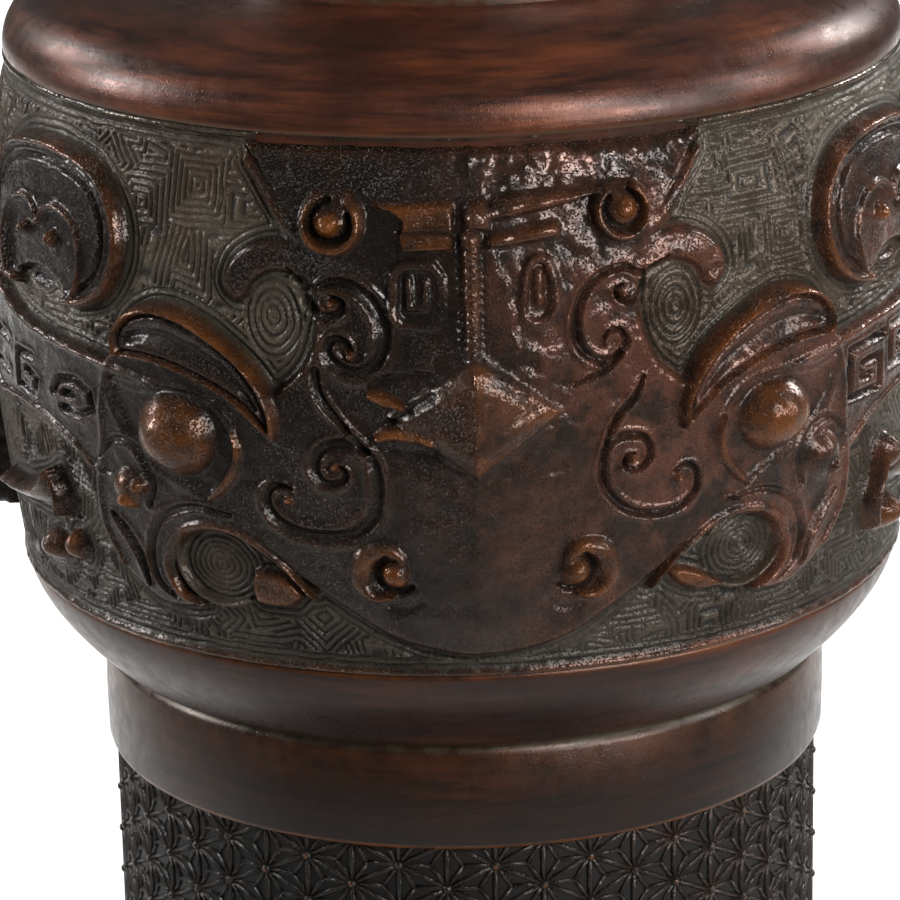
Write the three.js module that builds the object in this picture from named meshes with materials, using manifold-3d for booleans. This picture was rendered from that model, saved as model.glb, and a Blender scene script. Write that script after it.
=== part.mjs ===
// A bronze vase of gu form: spreading foot, swelling middle with an animal mask on the
// front and back, two plain flanges between the masks, and a trumpet neck.
// Millimetres, +Z up, standing on the ground at the origin with a mask facing -Y.

import * as THREE from 'three';
import { mergeVertices } from 'three/addons/utils/BufferGeometryUtils.js';
import { TessellateModifier } from 'three/addons/modifiers/TessellateModifier.js';
import Module from 'manifold-3d';

const wasm = await Module();
wasm.setup();

// Heights of the zones, from the ground up
const FOOT_HEIGHT = 150;
const COLLAR_HEIGHT = 19.5;
const LOWER_BAND_HEIGHT = 19.5;
const MASK_BAND_HEIGHT = 96.5;
const SHOULDER_RISE = 13;
const NECK_HEIGHT = 201.5;

// Radii of the zones
const FOOT_RADIUS = 92;
const STEM_RADIUS = 66.5;
const COLLAR_PROUD = 2.1;
const MASK_BAND_BOTTOM_RADIUS = 82.5;
const MASK_BAND_TOP_RADIUS = 81;
const MASK_BAND_BULGE = 5.6;
const MASK_BAND_LEAN = 0.3;
const LIP_OVERHANG = 1.4;
const NECK_RADIUS = 48;
const MOUTH_RADIUS = 122;

// Smaller sizes of the body
const WALL = 3.5;
const FLOOR_THICKNESS = 4;
const FOOT_RIM_HEIGHT = 11;
const FOOT_RIM_STEP = 2.5;
const FOOT_FLARE_HEIGHT = 95;
const COLLAR_ROUNDING = 7;
const LIP_HEIGHT = 2.2;
const NECK_GROOVE_HEIGHT = 3;
const NECK_GROOVE_DEPTH = 2;
const MOUTH_BAND_HEIGHT = 11;
const MOUTH_BAND_STEP = 1.5;

// The flanges between the masks
const FLANGE_THICKNESS = 9;
const FLANGE_REACH = 9.5;
const FLANGE_BOTTOM_GAP = 7.7;
const FLANGE_TOP_GAP = 11;
const FLANGE_CHAMFER = 1.5;

// The mask is laid out on a flat sheet, u across from its centre line and v up from the
// bottom of its band, and the sheet is then wrapped onto the body.
const SHEET_RADIUS = 87;
const SHEET_HEIGHT = 96.5;
const PLATE_RISE = 1.7;
const FEATURE_RISE = 4.2;
const KEEL_RISE = 2.4;
const NOSE_RISE = 7.5;
const RELIEF_ROOT = 2;
const PLATE_SLOPE = 0.8;
const BAND_CROWN = 0.45;
const LONGEST_EDGE = 28;

// Fineness
const TURN_STEPS = 36;
const OVERCUT = 1;
const BAND_STEPS = 6;
const BOSS_STEPS = 8;
const MERGE = 1e-3;

const collarBottom = FOOT_HEIGHT;
const collarTop = collarBottom + COLLAR_HEIGHT;
const bandBottom = collarTop + LOWER_BAND_HEIGHT;
const bandTop = bandBottom + MASK_BAND_HEIGHT;
const shoulderTop = bandTop + SHOULDER_RISE;
const mouthHeight = shoulderTop + NECK_HEIGHT;
const collarRadius = STEM_RADIUS + COLLAR_PROUD;
const lipRadius = MASK_BAND_TOP_RADIUS + LIP_OVERHANG;

// Runs a rule for a radius over a stretch of height and returns points (radius, height).
function stretch(from, to, steps, radiusAt, first = 0) {
  const points = [];
  for (let i = first; i <= steps; i += 1) {
    const share = i / steps;
    points.push(new THREE.Vector2(radiusAt(share), from + (to - from) * share));
  }
  return points;
}

function maskBandRadius(height) {
  const share = (height - bandBottom) / MASK_BAND_HEIGHT;
  const straight = THREE.MathUtils.lerp(MASK_BAND_BOTTOM_RADIUS, MASK_BAND_TOP_RADIUS, share);
  return straight + MASK_BAND_BULGE * 4 * share * (1 - share) * (1 + MASK_BAND_LEAN * (2 * share - 1));
}

const bandShare = (share) => maskBandRadius(bandBottom + MASK_BAND_HEIGHT * share);
const footFlare = (share) => STEM_RADIUS + (FOOT_RADIUS - FOOT_RIM_STEP - STEM_RADIUS) * (1 - share) ** 2.3;
const lowerBand = (share) => {
  const drop = MASK_BAND_BOTTOM_RADIUS - collarRadius;
  return MASK_BAND_BOTTOM_RADIUS - drop * (1 - share) ** 1.6;
};
const neckFlare = (share) => NECK_RADIUS + (MOUTH_RADIUS - MOUTH_BAND_STEP - NECK_RADIUS) * share ** 2.6;

// The shoulder is full at its edge and flattens towards the neck.
function shoulder(edgeRadius, edgeHeight, neckRadius, topHeight, steps) {
  const points = [];
  for (let i = 0; i <= steps; i += 1) {
    const angle = (i / steps) * Math.PI / 2;
    const radius = neckRadius + (edgeRadius - neckRadius) * Math.cos(angle) ** 0.6;
    points.push(new THREE.Vector2(radius, edgeHeight + (topHeight - edgeHeight) * Math.sin(angle)));
  }
  return points;
}

// The outside of the vessel as a solid form, from the ground up to the mouth.
function outerProfile() {
  const footFlareTop = FOOT_RIM_HEIGHT + FOOT_FLARE_HEIGHT;
  const mouthBandBottom = mouthHeight - MOUTH_BAND_HEIGHT;
  return [
    new THREE.Vector2(0, 0),
    new THREE.Vector2(FOOT_RADIUS, 0),
    new THREE.Vector2(FOOT_RADIUS, FOOT_RIM_HEIGHT - FOOT_RIM_STEP / 2),
    ...stretch(FOOT_RIM_HEIGHT, footFlareTop, 4, footFlare),
    new THREE.Vector2(STEM_RADIUS, collarBottom),
    new THREE.Vector2(collarRadius, collarBottom + COLLAR_ROUNDING),
    ...stretch(collarTop, bandBottom, 2, lowerBand),
    ...stretch(bandBottom, bandTop - LIP_HEIGHT, 5, (share) => bandShare(share * 0.98), 1),
    new THREE.Vector2(lipRadius, bandTop - LIP_HEIGHT / 2),
    ...shoulder(lipRadius, bandTop, NECK_RADIUS + NECK_GROOVE_DEPTH, shoulderTop, 4),
    new THREE.Vector2(NECK_RADIUS, shoulderTop + NECK_GROOVE_HEIGHT / 3),
    ...stretch(shoulderTop + NECK_GROOVE_HEIGHT, mouthBandBottom, 6, neckFlare),
    new THREE.Vector2(MOUTH_RADIUS - MOUTH_BAND_STEP, mouthBandBottom + MOUTH_BAND_STEP),
    new THREE.Vector2(MOUTH_RADIUS, mouthHeight - WALL / 3),
    new THREE.Vector2(MOUTH_RADIUS - WALL / 3, mouthHeight),
    new THREE.Vector2(0, mouthHeight),
  ];
}

// The hollow that holds the flowers, from the floor up through the mouth.
function cavityProfile() {
  const mouthBandBottom = mouthHeight - MOUTH_BAND_HEIGHT;
  const shoulderEdge = [MASK_BAND_TOP_RADIUS - WALL, bandTop - WALL];
  return [
    new THREE.Vector2(0, collarBottom + FLOOR_THICKNESS),
    new THREE.Vector2(STEM_RADIUS - WALL, collarBottom + FLOOR_THICKNESS),
    new THREE.Vector2(collarRadius - WALL, collarTop),
    ...stretch(bandBottom, bandTop - WALL, 4, (share) => bandShare(share) - WALL).slice(0, -1),
    ...shoulder(...shoulderEdge, NECK_RADIUS - WALL, shoulderTop - WALL, 2),
    ...stretch(shoulderTop + NECK_GROOVE_HEIGHT, mouthBandBottom, 4, (share) => neckFlare(share) - WALL),
    new THREE.Vector2(MOUTH_RADIUS - WALL, mouthHeight + OVERCUT),
    new THREE.Vector2(0, mouthHeight + OVERCUT),
  ];
}

// The hollow of the foot, open at the ground.
function footHollowProfile() {
  const footFlareTop = FOOT_RIM_HEIGHT + FOOT_FLARE_HEIGHT;
  const openRadius = FOOT_RADIUS - FOOT_RIM_STEP - WALL;
  return [
    new THREE.Vector2(0, -OVERCUT),
    new THREE.Vector2(openRadius, -OVERCUT),
    ...stretch(FOOT_RIM_HEIGHT, footFlareTop, 2, (share) => footFlare(share) - WALL),
    new THREE.Vector2(STEM_RADIUS - WALL, collarBottom),
    new THREE.Vector2(0, collarBottom),
  ];
}

// Turns a closed geometry into a solid, dropping faces that shrank to a line at the axis.
function solidOf(geometry) {
  const bare = new THREE.BufferGeometry();
  bare.setAttribute('position', geometry.getAttribute('position'));
  bare.setIndex(geometry.getIndex());
  const merged = mergeVertices(bare, MERGE);
  const index = merged.getIndex().array;
  const faces = [];
  for (let i = 0; i < index.length; i += 3) {
    const [a, b, c] = [index[i], index[i + 1], index[i + 2]];
    if (a !== b && b !== c && c !== a) faces.push(a, b, c);
  }
  const mesh = new wasm.Mesh({
    numProp: 3,
    vertProperties: new Float32Array(merged.getAttribute('position').array),
    triVerts: new Uint32Array(faces),
  });
  return new wasm.Manifold(mesh);
}

function geometryOf(solid) {
  const mesh = solid.getMesh();
  const geometry = new THREE.BufferGeometry();
  geometry.setAttribute('position', new THREE.BufferAttribute(mesh.vertProperties, 3));
  geometry.setIndex(new THREE.BufferAttribute(mesh.triVerts, 1));
  geometry.computeVertexNormals();
  return geometry;
}

function turned(profile) {
  const geometry = new THREE.LatheGeometry(profile, TURN_STEPS);
  geometry.rotateX(Math.PI / 2);
  return solidOf(geometry);
}

function vesselSolid() {
  return turned(outerProfile()).subtract(turned(cavityProfile())).subtract(turned(footHollowProfile()));
}

// Makes a solid from a closed mesh on the flat sheet, whose points are (u, v, rise). Side -1
// mirrors it to the left half of the mask, and turn carries it round the body.
function wrap(points, faces, side, turn) {
  const position = new Float32Array(points.length * 3);
  points.forEach(([u, v, rise], i) => {
    const height = bandBottom + (v / SHEET_HEIGHT) * MASK_BAND_HEIGHT;
    const angle = (side * u) / SHEET_RADIUS + turn;
    const radius = maskBandRadius(height) + rise;
    position.set([radius * Math.sin(angle), -radius * Math.cos(angle), height], i * 3);
  });
  const geometry = new THREE.BufferGeometry();
  geometry.setAttribute('position', new THREE.BufferAttribute(position, 3));
  geometry.setIndex(side > 0 ? faces : [...faces].reverse());
  return solidOf(geometry);
}

const curve = (places) => new THREE.CatmullRomCurve3(places.map(([u, v]) => new THREE.Vector3(u, v, 0)));

// A raised band that follows a curve through the places given as [u, v, half width].
function band(places, rise, side, turn, steps = BAND_STEPS, crown = BAND_CROWN, root = -RELIEF_ROOT) {
  const line = curve(places);
  const points = [];
  const faces = [];
  for (let i = 0; i <= steps; i += 1) {
    const share = i / steps;
    const at = line.getPoint(share);
    const along = line.getTangent(share);
    const knot = Math.min(share * (places.length - 1), places.length - 1.0001);
    const low = Math.floor(knot);
    const half = THREE.MathUtils.lerp(places[low][2], places[low + 1][2], knot - low);
    for (const [across, top] of [[1, root], [crown, rise], [-crown, rise], [-1, root]]) {
      points.push([at.x - along.y * half * across, at.y + along.x * half * across, top]);
    }
    if (i === steps) continue;
    for (let k = 0; k < 4; k += 1) {
      const p = i * 4 + k;
      const q = i * 4 + ((k + 1) % 4);
      faces.push(p, q, q + 4, p, q + 4, p + 4);
    }
  }
  const end = steps * 4;
  faces.push(0, 3, 2, 0, 2, 1, end, end + 2, end + 3, end, end + 1, end + 2);
  return wrap(points, faces, side, turn);
}

// A raised round boss, the upper half of a flattened ball.
function boss(u, v, halfWidth, halfHeight, rise, side, turn, steps = BOSS_STEPS) {
  const points = [];
  const faces = [];
  const rows = [[1, -RELIEF_ROOT], [0.78, rise * 0.7]];
  for (const [share, top] of rows) {
    for (let i = 0; i < steps; i += 1) {
      const angle = (i / steps) * 2 * Math.PI;
      points.push([u + halfWidth * share * Math.cos(angle), v + halfHeight * share * Math.sin(angle), top]);
    }
  }
  const foot = points.push([u, v, -RELIEF_ROOT]) - 1;
  const peak = points.push([u, v, rise]) - 1;
  const last = (rows.length - 1) * steps;
  for (let i = 0; i < steps; i += 1) {
    const next = (i + 1) % steps;
    faces.push(foot, next, i, peak, last + i, last + next);
    for (let row = 0; row < last; row += steps) {
      faces.push(row + i, row + next, row + steps + next, row + i, row + steps + next, row + steps + i);
    }
  }
  return wrap(points, faces, side, turn);
}

// A raised plate over a closed outline that runs anticlockwise, with sloping sides. Its face
// is cut into short edges, so that it follows the body.
function plate(outline, rise, turn) {
  const count = outline.length;
  const corners = outline.map(([u, v]) => new THREE.Vector2(u, v));
  const points = [];
  outline.forEach(([u, v], i) => {
    const before = corners[(i + count - 1) % count];
    const after = corners[(i + 1) % count];
    const out = new THREE.Vector2(after.y - before.y, before.x - after.x).normalize();
    points.push([u + out.x * PLATE_SLOPE, v + out.y * PLATE_SLOPE, -RELIEF_ROOT]);
  });
  outline.forEach(([u, v]) => points.push([u, v, rise]));
  const faces = [];
  for (const [a, b, c] of THREE.ShapeUtils.triangulateShape(corners, [])) {
    faces.push(count + a, count + b, count + c, c, b, a);
  }
  for (let i = 0; i < count; i += 1) {
    const next = (i + 1) % count;
    faces.push(i, next, count + next, i, count + next, count + i);
  }
  const geometry = new THREE.BufferGeometry();
  geometry.setAttribute('position', new THREE.Float32BufferAttribute(points.flat(), 3));
  geometry.setIndex(faces);
  const cut = mergeVertices(new TessellateModifier(LONGEST_EDGE, 8).modify(geometry), MERGE);
  const place = cut.getAttribute('position');
  const cutPoints = [];
  for (let i = 0; i < place.count; i += 1) cutPoints.push([place.getX(i), place.getY(i), place.getZ(i)]);
  return wrap(cutPoints, Array.from(cut.getIndex().array), 1, turn);
}

// The outline of the face, right half from the chin up to the forehead: the jaw, the scroll
// round the cheek, the outer eye corner, the inner brow, the ear and the forehead.
function faceOutline() {
  const chin = [[0, 4], [10, 5], [17, 7.8], [25, 13], [32, 17.5]];
  const scrollInside = [[39, 23], [47, 25.5], [54, 23], [57.3, 17.5], [55.5, 12]];
  const scrollOutside = [[53, 9], [62, 9], [70, 14], [74.3, 22], [74, 31], [70, 38]];
  const eyeAndBrow = [[69, 50], [66, 56], [60, 61], [47, 59], [39, 54], [34.5, 52]];
  const templeAndForehead = [[29.5, 58], [27.5, 66], [27, 75], [31, 79], [41.5, 92], [41.5, 93.8]];
  const right = [...chin, ...scrollInside, ...scrollOutside, ...eyeAndBrow, ...templeAndForehead];
  const left = right.slice(1).reverse().map(([u, v]) => [-u, v]);
  return [...right, [0, 93.8], ...left];
}

// Gathers the raised pieces of one half of a mask.
function halfSheet(side, turn) {
  const pieces = [];
  return {
    pieces,
    addBand: (places, rise, steps, crown) => pieces.push(band(places, rise, side, turn, steps, crown)),
    addBoss: (u, v, halfWidth, halfHeight, rise, steps) => {
      pieces.push(boss(u, v, halfWidth, halfHeight, rise, side, turn, steps));
    },
  };
}

// The main forms of each half, as u, v and half width along each raised band.
function mainForms(side, turn) {
  const { pieces, addBand, addBoss } = halfSheet(side, turn);
  const top = FEATURE_RISE;

  // Eye and the brow over it
  addBoss(53.8, 42.3, 8.2, 7, top * 1.6);
  addBand([[35, 44.5, 0.5], [38.5, 51, 2.6], [47, 57.5, 4.3], [57, 59.8, 4.7], [65.5, 57, 2.6]], top * 1.15);

  // Round end of the forehead scroll, and the ear that hooks outwards below it
  addBoss(24.7, 82.3, 4.5, 4.4, top * 1.3);
  const ear = [[26, 76.5, 1.5], [33, 76, 2.6], [41.3, 73.5, 3], [42.8, 69.3, 2], [40.4, 67.2, 0.8]];
  addBand(ear, top * 0.85, 5);

  // Nostril scroll beside the chin and the boss on the cheek
  addBoss(15.7, 19.6, 3, 2.9, top * 1.45);
  addBand([[21, 13.5, 0.8], [23, 19.5, 1.7], [18, 25.6, 1.7], [11.5, 23, 1.4], [11.5, 17, 0.7]], top * 1.15);
  addBoss(66.3, 31, 4.6, 4.4, top * 1.2);

  // Horn, a horseshoe open at the bottom
  const horn = [[81, 61, 0.5], [71.5, 64.5, 3.4], [70.3, 75.5, 4.5], [78, 83, 4.7], [89, 84.5, 4.6]];
  const hornOuter = [[100, 83, 4.7], [107.7, 75.5, 4.5], [106.5, 64.5, 3.4], [97, 61, 0.5]];
  addBand([...horn, ...hornOuter], top, 10);

  // Body behind the eye, rising to a curled tail
  const back = [[69.5, 45.5, 7.2], [82, 46, 7.8], [96, 47.5, 7.6], [110, 50, 6.8], [121, 57, 5]];
  addBand([...back, [124.5, 66, 3.2], [120, 73, 1.2]], PLATE_RISE, 8, 0.88);

  // Claw below the body
  addBand([[112, 18.5, 2.6], [98, 19.8, 2.4], [90.3, 22.2, 2], [88.6, 28, 0.5]], top, 4);
  return pieces;
}

// The finer forms, which only the front mask has: the turns of the forehead scroll, the lobes
// inside the horn, the toes of the claw and the bar above the nose.
function fineForms(side, turn) {
  const { pieces, addBand, addBoss } = halfSheet(side, turn);
  const top = FEATURE_RISE;
  addBand([[32, 81.5, 2.4], [27.5, 76.8, 2], [21, 77.3, 1.5], [18.7, 83, 0.7]], top * 0.9, 4);
  addBand([[79, 64.5, 1.6], [80.5, 71, 4], [89, 71.5, 5.6], [97.5, 71, 4], [99, 64.5, 1.6]], top * 0.55, 5);
  addBoss(84, 71.6, 2.6, 2.5, top * 0.95, 6);
  addBoss(94, 71.6, 2.6, 2.5, top * 0.95, 6);
  addBoss(84.6, 14.4, 3.4, 3.2, top * 1.05, 6);
  addBoss(93, 12, 3.7, 3.4, top * 1.1, 6);
  addBand([[2.5, 84, 1], [20, 85.2, 0.7]], top * 1.05, 1);
  return pieces;
}

// The nose runs down from the bars to a four-sided point between the cheeks, and below it the
// face stands forward along its centre line, like the prow of a boat.
function nose(turn) {
  const seat = PLATE_RISE - 0.3;
  const ridge = band([[0, 79.5, 1.9], [0, 57, 1.9]], FEATURE_RISE * 1.35, 1, turn, 1, 0.8);
  const keelPlaces = [[0, 84, 9], [0, 60, 15], [0, 36, 19], [0, 18, 15], [0, 5.5, 8]];
  const keel = band(keelPlaces, PLATE_RISE + KEEL_RISE, 1, turn, 4, 0.03, seat);
  const points = [[14, 48.5], [0, 60], [-14, 48.5], [0, 38.5]].map(([u, v]) => [u, v, seat]);
  points.push([0, 49.5, NOSE_RISE]);
  const faces = [0, 1, 4, 1, 2, 4, 2, 3, 4, 3, 0, 4, 0, 2, 1, 0, 3, 2];
  return [ridge, keel, wrap(points, faces, 1, turn)];
}

function mask(turn) {
  return [
    plate(faceOutline(), PLATE_RISE, turn),
    ...nose(turn),
    ...mainForms(1, turn),
    ...mainForms(-1, turn),
  ];
}

// A plain upright bar at the side, with its edges taken off, rooted in the wall.
function flange(side) {
  const widest = Math.max(...[0.4, 0.5, 0.6].map(bandShare));
  const inner = MASK_BAND_TOP_RADIUS - WALL / 2;
  const outer = widest + FLANGE_REACH;
  const half = FLANGE_THICKNESS / 2;
  const section = new THREE.Shape([
    new THREE.Vector2(inner, -half),
    new THREE.Vector2(outer - FLANGE_CHAMFER, -half),
    new THREE.Vector2(outer, -half + FLANGE_CHAMFER),
    new THREE.Vector2(outer, half - FLANGE_CHAMFER),
    new THREE.Vector2(outer - FLANGE_CHAMFER, half),
    new THREE.Vector2(inner, half),
  ]);
  const depth = MASK_BAND_HEIGHT - FLANGE_BOTTOM_GAP - FLANGE_TOP_GAP;
  const geometry = new THREE.ExtrudeGeometry(section, { depth, bevelEnabled: false });
  geometry.translate(0, 0, bandBottom + FLANGE_BOTTOM_GAP);
  geometry.rotateZ(side > 0 ? 0 : Math.PI);
  return solidOf(geometry);
}

function vase() {
  const masks = [...mask(0), ...fineForms(1, 0), ...fineForms(-1, 0), ...mask(Math.PI)];
  const pieces = [vesselSolid(), flange(1), flange(-1), ...masks];
  const bronze = new THREE.MeshStandardMaterial({ color: 0x3d2a22, roughness: 0.38, metalness: 0.85 });
  const mesh = new THREE.Mesh(geometryOf(wasm.Manifold.union(pieces)), bronze);
  mesh.name = 'gu_vase';
  return mesh;
}

const object = new THREE.Group();
object.add(vase());

export default object;
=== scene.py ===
"""A bronze gu vase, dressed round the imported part.

The vase is one hollow casting. A mask stands on the front and the back of its middle, in low
relief over a ground of fine cut lines, and a star lattice covers the foot and the neck.
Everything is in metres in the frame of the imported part. The relief alone is drawn in
millimetres, on a flat sheet that is then wrapped round the body.
"""

import math

import bmesh
import bpy
import numpy as np
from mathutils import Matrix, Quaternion, Vector


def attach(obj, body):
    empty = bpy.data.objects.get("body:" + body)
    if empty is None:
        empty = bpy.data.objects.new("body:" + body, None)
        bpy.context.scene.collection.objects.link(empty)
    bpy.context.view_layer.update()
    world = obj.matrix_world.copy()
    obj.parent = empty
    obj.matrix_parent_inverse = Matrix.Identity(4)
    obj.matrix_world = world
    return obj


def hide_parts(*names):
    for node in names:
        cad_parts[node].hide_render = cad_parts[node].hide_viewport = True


bl_info = {
    "name": "Bronze gu vase",
    "version": (1, 0, 0),
    "blender": (4, 5, 0),
    "location": "3D View > Sidebar > Gu vase",
    "description": "Builds a bronze gu vase with mask reliefs and a star lattice",
    "category": "Object",
}

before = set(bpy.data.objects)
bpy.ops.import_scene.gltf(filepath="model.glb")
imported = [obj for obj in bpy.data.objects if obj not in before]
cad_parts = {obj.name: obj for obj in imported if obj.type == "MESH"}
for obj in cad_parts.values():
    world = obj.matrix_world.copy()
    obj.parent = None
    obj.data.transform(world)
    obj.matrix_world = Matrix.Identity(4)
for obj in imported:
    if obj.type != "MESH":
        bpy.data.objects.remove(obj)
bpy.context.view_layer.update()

BODY = "root"
NODE = "gu_vase"
MM = 0.001

# The flat sheet of the mask, in mm: u runs outwards from the centre line, v up from its lower edge.
SHEET_RADIUS = 87.0
SHEET_HEIGHT = 96.5
SHEET_TOP = 95.6
HALF_TURN = SHEET_RADIUS * math.pi / 2
SEAM_OVERLAP = 0.3
FAR = 99.0
KEEL_PLACE = -1.0
SHEET_DEPTH = 2.1
FRONT_STEP = 0.29
BACK_STEP = 0.36
FRONT_TRIANGLES = 194000
BACK_TRIANGLES = 105000
BACK_COLUMNS = 24
BACK_ROWS = 8

# Heights above the ground of the mask, in mm.
PLATE_RISE = 1.8
FEATURE_RISE = 3.6
KEEL_RISE = 2.3
NOSE_POINT = 3.8
SOFTNESS = 0.4

# The ground's lines lie in blocks of this size in mm, and follow the form all over one zone of the
# sheet, from u to u and from v to v.
GROUND_BLOCK = 10.5
LOOP_ZONE = (26, 41, 52, 73)

# The outline of the turned wall, in mm. It stands back behind the sheets of the mask.
TURN_STEPS = 208
RELIEF_RECESS = 1.3
FOOT_POWER = 2.3
NECK_POWER = 2.6
# Small rounded rings on the wall: height, half height, how far they stand out.
FILLETS = {"foot": (44.8, 3.4, 1.5), "neck_low": (303.2, 1.9, 1.2), "neck_high": (400.5, 3.2, 1.5)}
# Where the wall is rubbed, and where green gathers: height and reach in mm, and strength.
RUBBED_RINGS = ((150.2, 0.9, 0.9), (188.3, 0.8, 0.45), (285.0, 0.7, 0.35), (498, 2.5, 0.5), (10, 2, 0.4),
                (168.2, 1, 0.3))
CREVICE_RINGS = ((169.5, 1.0, 1.0), (300, 1.6, 0.8), (284.2, 1.2, 0.7))
LATTICE_ZONES = ((48.2, 149.8), (305, 395.5))

# The lattice: rays of the stars and their studs, and how far what is under its lowest row sinks.
RAY_BURIED = 0.25 * MM
STUD_RADIUS = 0.95 * MM
STUD_RINGS = ((1.0, -0.25), (0.93, 0.55), (0.55, 1.05))
STUD_STEPS = 9
STUD_TOP = 1.2 * MM
SUNK = 1.6 * MM
# Rows of stars, height of the lowest row, and the turn of the first column in degrees.
FOOT_LATTICE = (13, 42.4 * MM, 1.85)
NECK_LATTICE = (11, 303.2 * MM, 0.0)

# The flanges: how far they stay from the ends of the mask band, and the cuts across them.
FLANGE_BELOW = 7.7 * MM
FLANGE_ABOVE = 11 * MM
FLANGE_ROWS = 140
FLANGE_CUTS = 5
FLANGE_CUT = 0.75 * MM
FLANGE_END = 1.6 * MM
FLANGE_CHAMFER = 1.5 * MM
SLOT_DEPTH = 0.6 * MM
SLOT_PLACE = 0.66
SLOT_WIDTH = 0.07

# Noises of the patina: scale, detail and roughness.
STREAK_SCALE = (45, 45, 620)
NOISES = {
    "patches": (26.0, 3.0, 0.55),
    "mottle": (340.0, 2.5, 0.5),
    "grain": (2600.0, 2.0, 0.5),
    "blots": (160.0, 5.0, 0.65),
}
# Share of the near-black wax colour in the cuts; it paints shade into them as well as wax.
WAX_AND_SHADE_SHARE = 0.9

FLOOR_HALF = 8.0
FLOOR_COLOUR = "#f7f6f4"
TENT_GLOW = 0.1
FLOOR_AIM = (0, 0.85, 0)
VASE_AIM = (0, 0, 0.25)
# Soft boxes: place, what they face, width, height, watts and spread in degrees.
LIGHTS = {
    "floor_left": ((-1.5, 1.3, 1.1), FLOOR_AIM, 0.6, 0.6, 5.6, 60),
    "floor_right": ((1.5, 1.3, 1.1), FLOOR_AIM, 0.6, 0.6, 10, 60),
    "side_left": ((-1.4, 0.15, 0.72), VASE_AIM, 0.3, 0.6, 1.0, 50),
    "side_right": ((1.6, -0.3, 0.8), VASE_AIM, 0.3, 1.0, 0.8, 50),
    "front_low": ((0.78, -1.15, 0.42), VASE_AIM, 0.5, 0.3, 0.36, 50),
    "front_right": ((1.06, -0.89, 0.45), VASE_AIM, 0.3, 0.5, 0.4, 50),
    "front_high": ((0.58, -1.06, 0.85), VASE_AIM, 0.4, 0.3, 0.5, 50),
}

# The camera, in degrees and metres, fitted to the rings of the body that the photograph shows.
CAMERA_PITCH = 18.157
CAMERA_ROLL = 1.161
CAMERA_AZIMUTH = -2.2
CAMERA_DISTANCE = 0.8277
CAMERA_AIM_HEIGHT = 0.2029
CAMERA_SHIFT = 1.942e-3
CAMERA_ANGLE = 11.778
SENSOR_WIDTH = 36


class VaseSizes(bpy.types.PropertyGroup):
    """Sizes of the vase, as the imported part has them."""

    foot_height: bpy.props.FloatProperty(
        name="Foot height", description="From the ground to the collar", default=0.150, unit="LENGTH")
    collar_height: bpy.props.FloatProperty(
        name="Collar height", description="Plain band over the foot", default=0.0195, unit="LENGTH")
    lower_band_height: bpy.props.FloatProperty(
        name="Lower band height", description="Spreading band under the mask", default=0.0195, unit="LENGTH")
    mask_band_height: bpy.props.FloatProperty(
        name="Mask band height", description="Swelling middle with the masks", default=0.0965, unit="LENGTH")
    shoulder_rise: bpy.props.FloatProperty(
        name="Shoulder rise", description="From the lip up to the neck", default=0.013, unit="LENGTH")
    neck_height: bpy.props.FloatProperty(
        name="Neck height", description="From the shoulder to the mouth", default=0.2015, unit="LENGTH")
    foot_radius: bpy.props.FloatProperty(
        name="Foot radius", description="Widest part of the foot", default=0.092, unit="LENGTH")
    stem_radius: bpy.props.FloatProperty(
        name="Stem radius", description="Narrowest part of the foot", default=0.0665, unit="LENGTH")
    collar_proud: bpy.props.FloatProperty(
        name="Collar proud", description="How far the collar stands out", default=0.0021, unit="LENGTH")
    band_bottom_radius: bpy.props.FloatProperty(
        name="Mask band bottom radius", description="At its lower edge", default=0.0825, unit="LENGTH")
    band_top_radius: bpy.props.FloatProperty(
        name="Mask band top radius", description="At its upper edge", default=0.081, unit="LENGTH")
    band_bulge: bpy.props.FloatProperty(
        name="Mask band bulge", description="Swelling between the edges", default=0.0056, unit="LENGTH")
    band_lean: bpy.props.FloatProperty(
        name="Mask band lean", description="How far the swelling sits above the middle", default=0.3)
    lip_overhang: bpy.props.FloatProperty(
        name="Lip overhang", description="Lip of the shoulder over the mask", default=0.0014, unit="LENGTH")
    neck_radius: bpy.props.FloatProperty(
        name="Neck radius", description="Narrowest part of the neck", default=0.048, unit="LENGTH")
    mouth_radius: bpy.props.FloatProperty(
        name="Mouth radius", description="Outside of the mouth", default=0.122, unit="LENGTH")
    wall: bpy.props.FloatProperty(
        name="Wall", description="Thickness of the casting", default=0.0035, unit="LENGTH")
    floor_thickness: bpy.props.FloatProperty(
        name="Floor thickness", description="Of the floor inside", default=0.004, unit="LENGTH")
    flange_thickness: bpy.props.FloatProperty(
        name="Flange thickness", description="Of the bars at the sides", default=0.009, unit="LENGTH")
    flange_reach: bpy.props.FloatProperty(
        name="Flange reach", description="How far the side bars stand out", default=0.0095, unit="LENGTH")
    line_pitch: bpy.props.FloatProperty(
        name="Ground line pitch", description="Spacing of the lines cut in the ground", default=0.00122,
        unit="LENGTH")
    line_depth: bpy.props.FloatProperty(
        name="Ground line depth", description="Depth of the lines cut in the ground", default=0.00048,
        unit="LENGTH")
    star_columns: bpy.props.IntProperty(
        name="Star columns", description="Columns of stars round the foot", default=48, min=12)
    neck_star_columns: bpy.props.IntProperty(
        name="Neck star columns", description="Columns of stars round the neck", default=36, min=12)
    star_pitch: bpy.props.FloatProperty(
        name="Star pitch", description="Height from star to star in a column", default=0.00865, unit="LENGTH")


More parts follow.
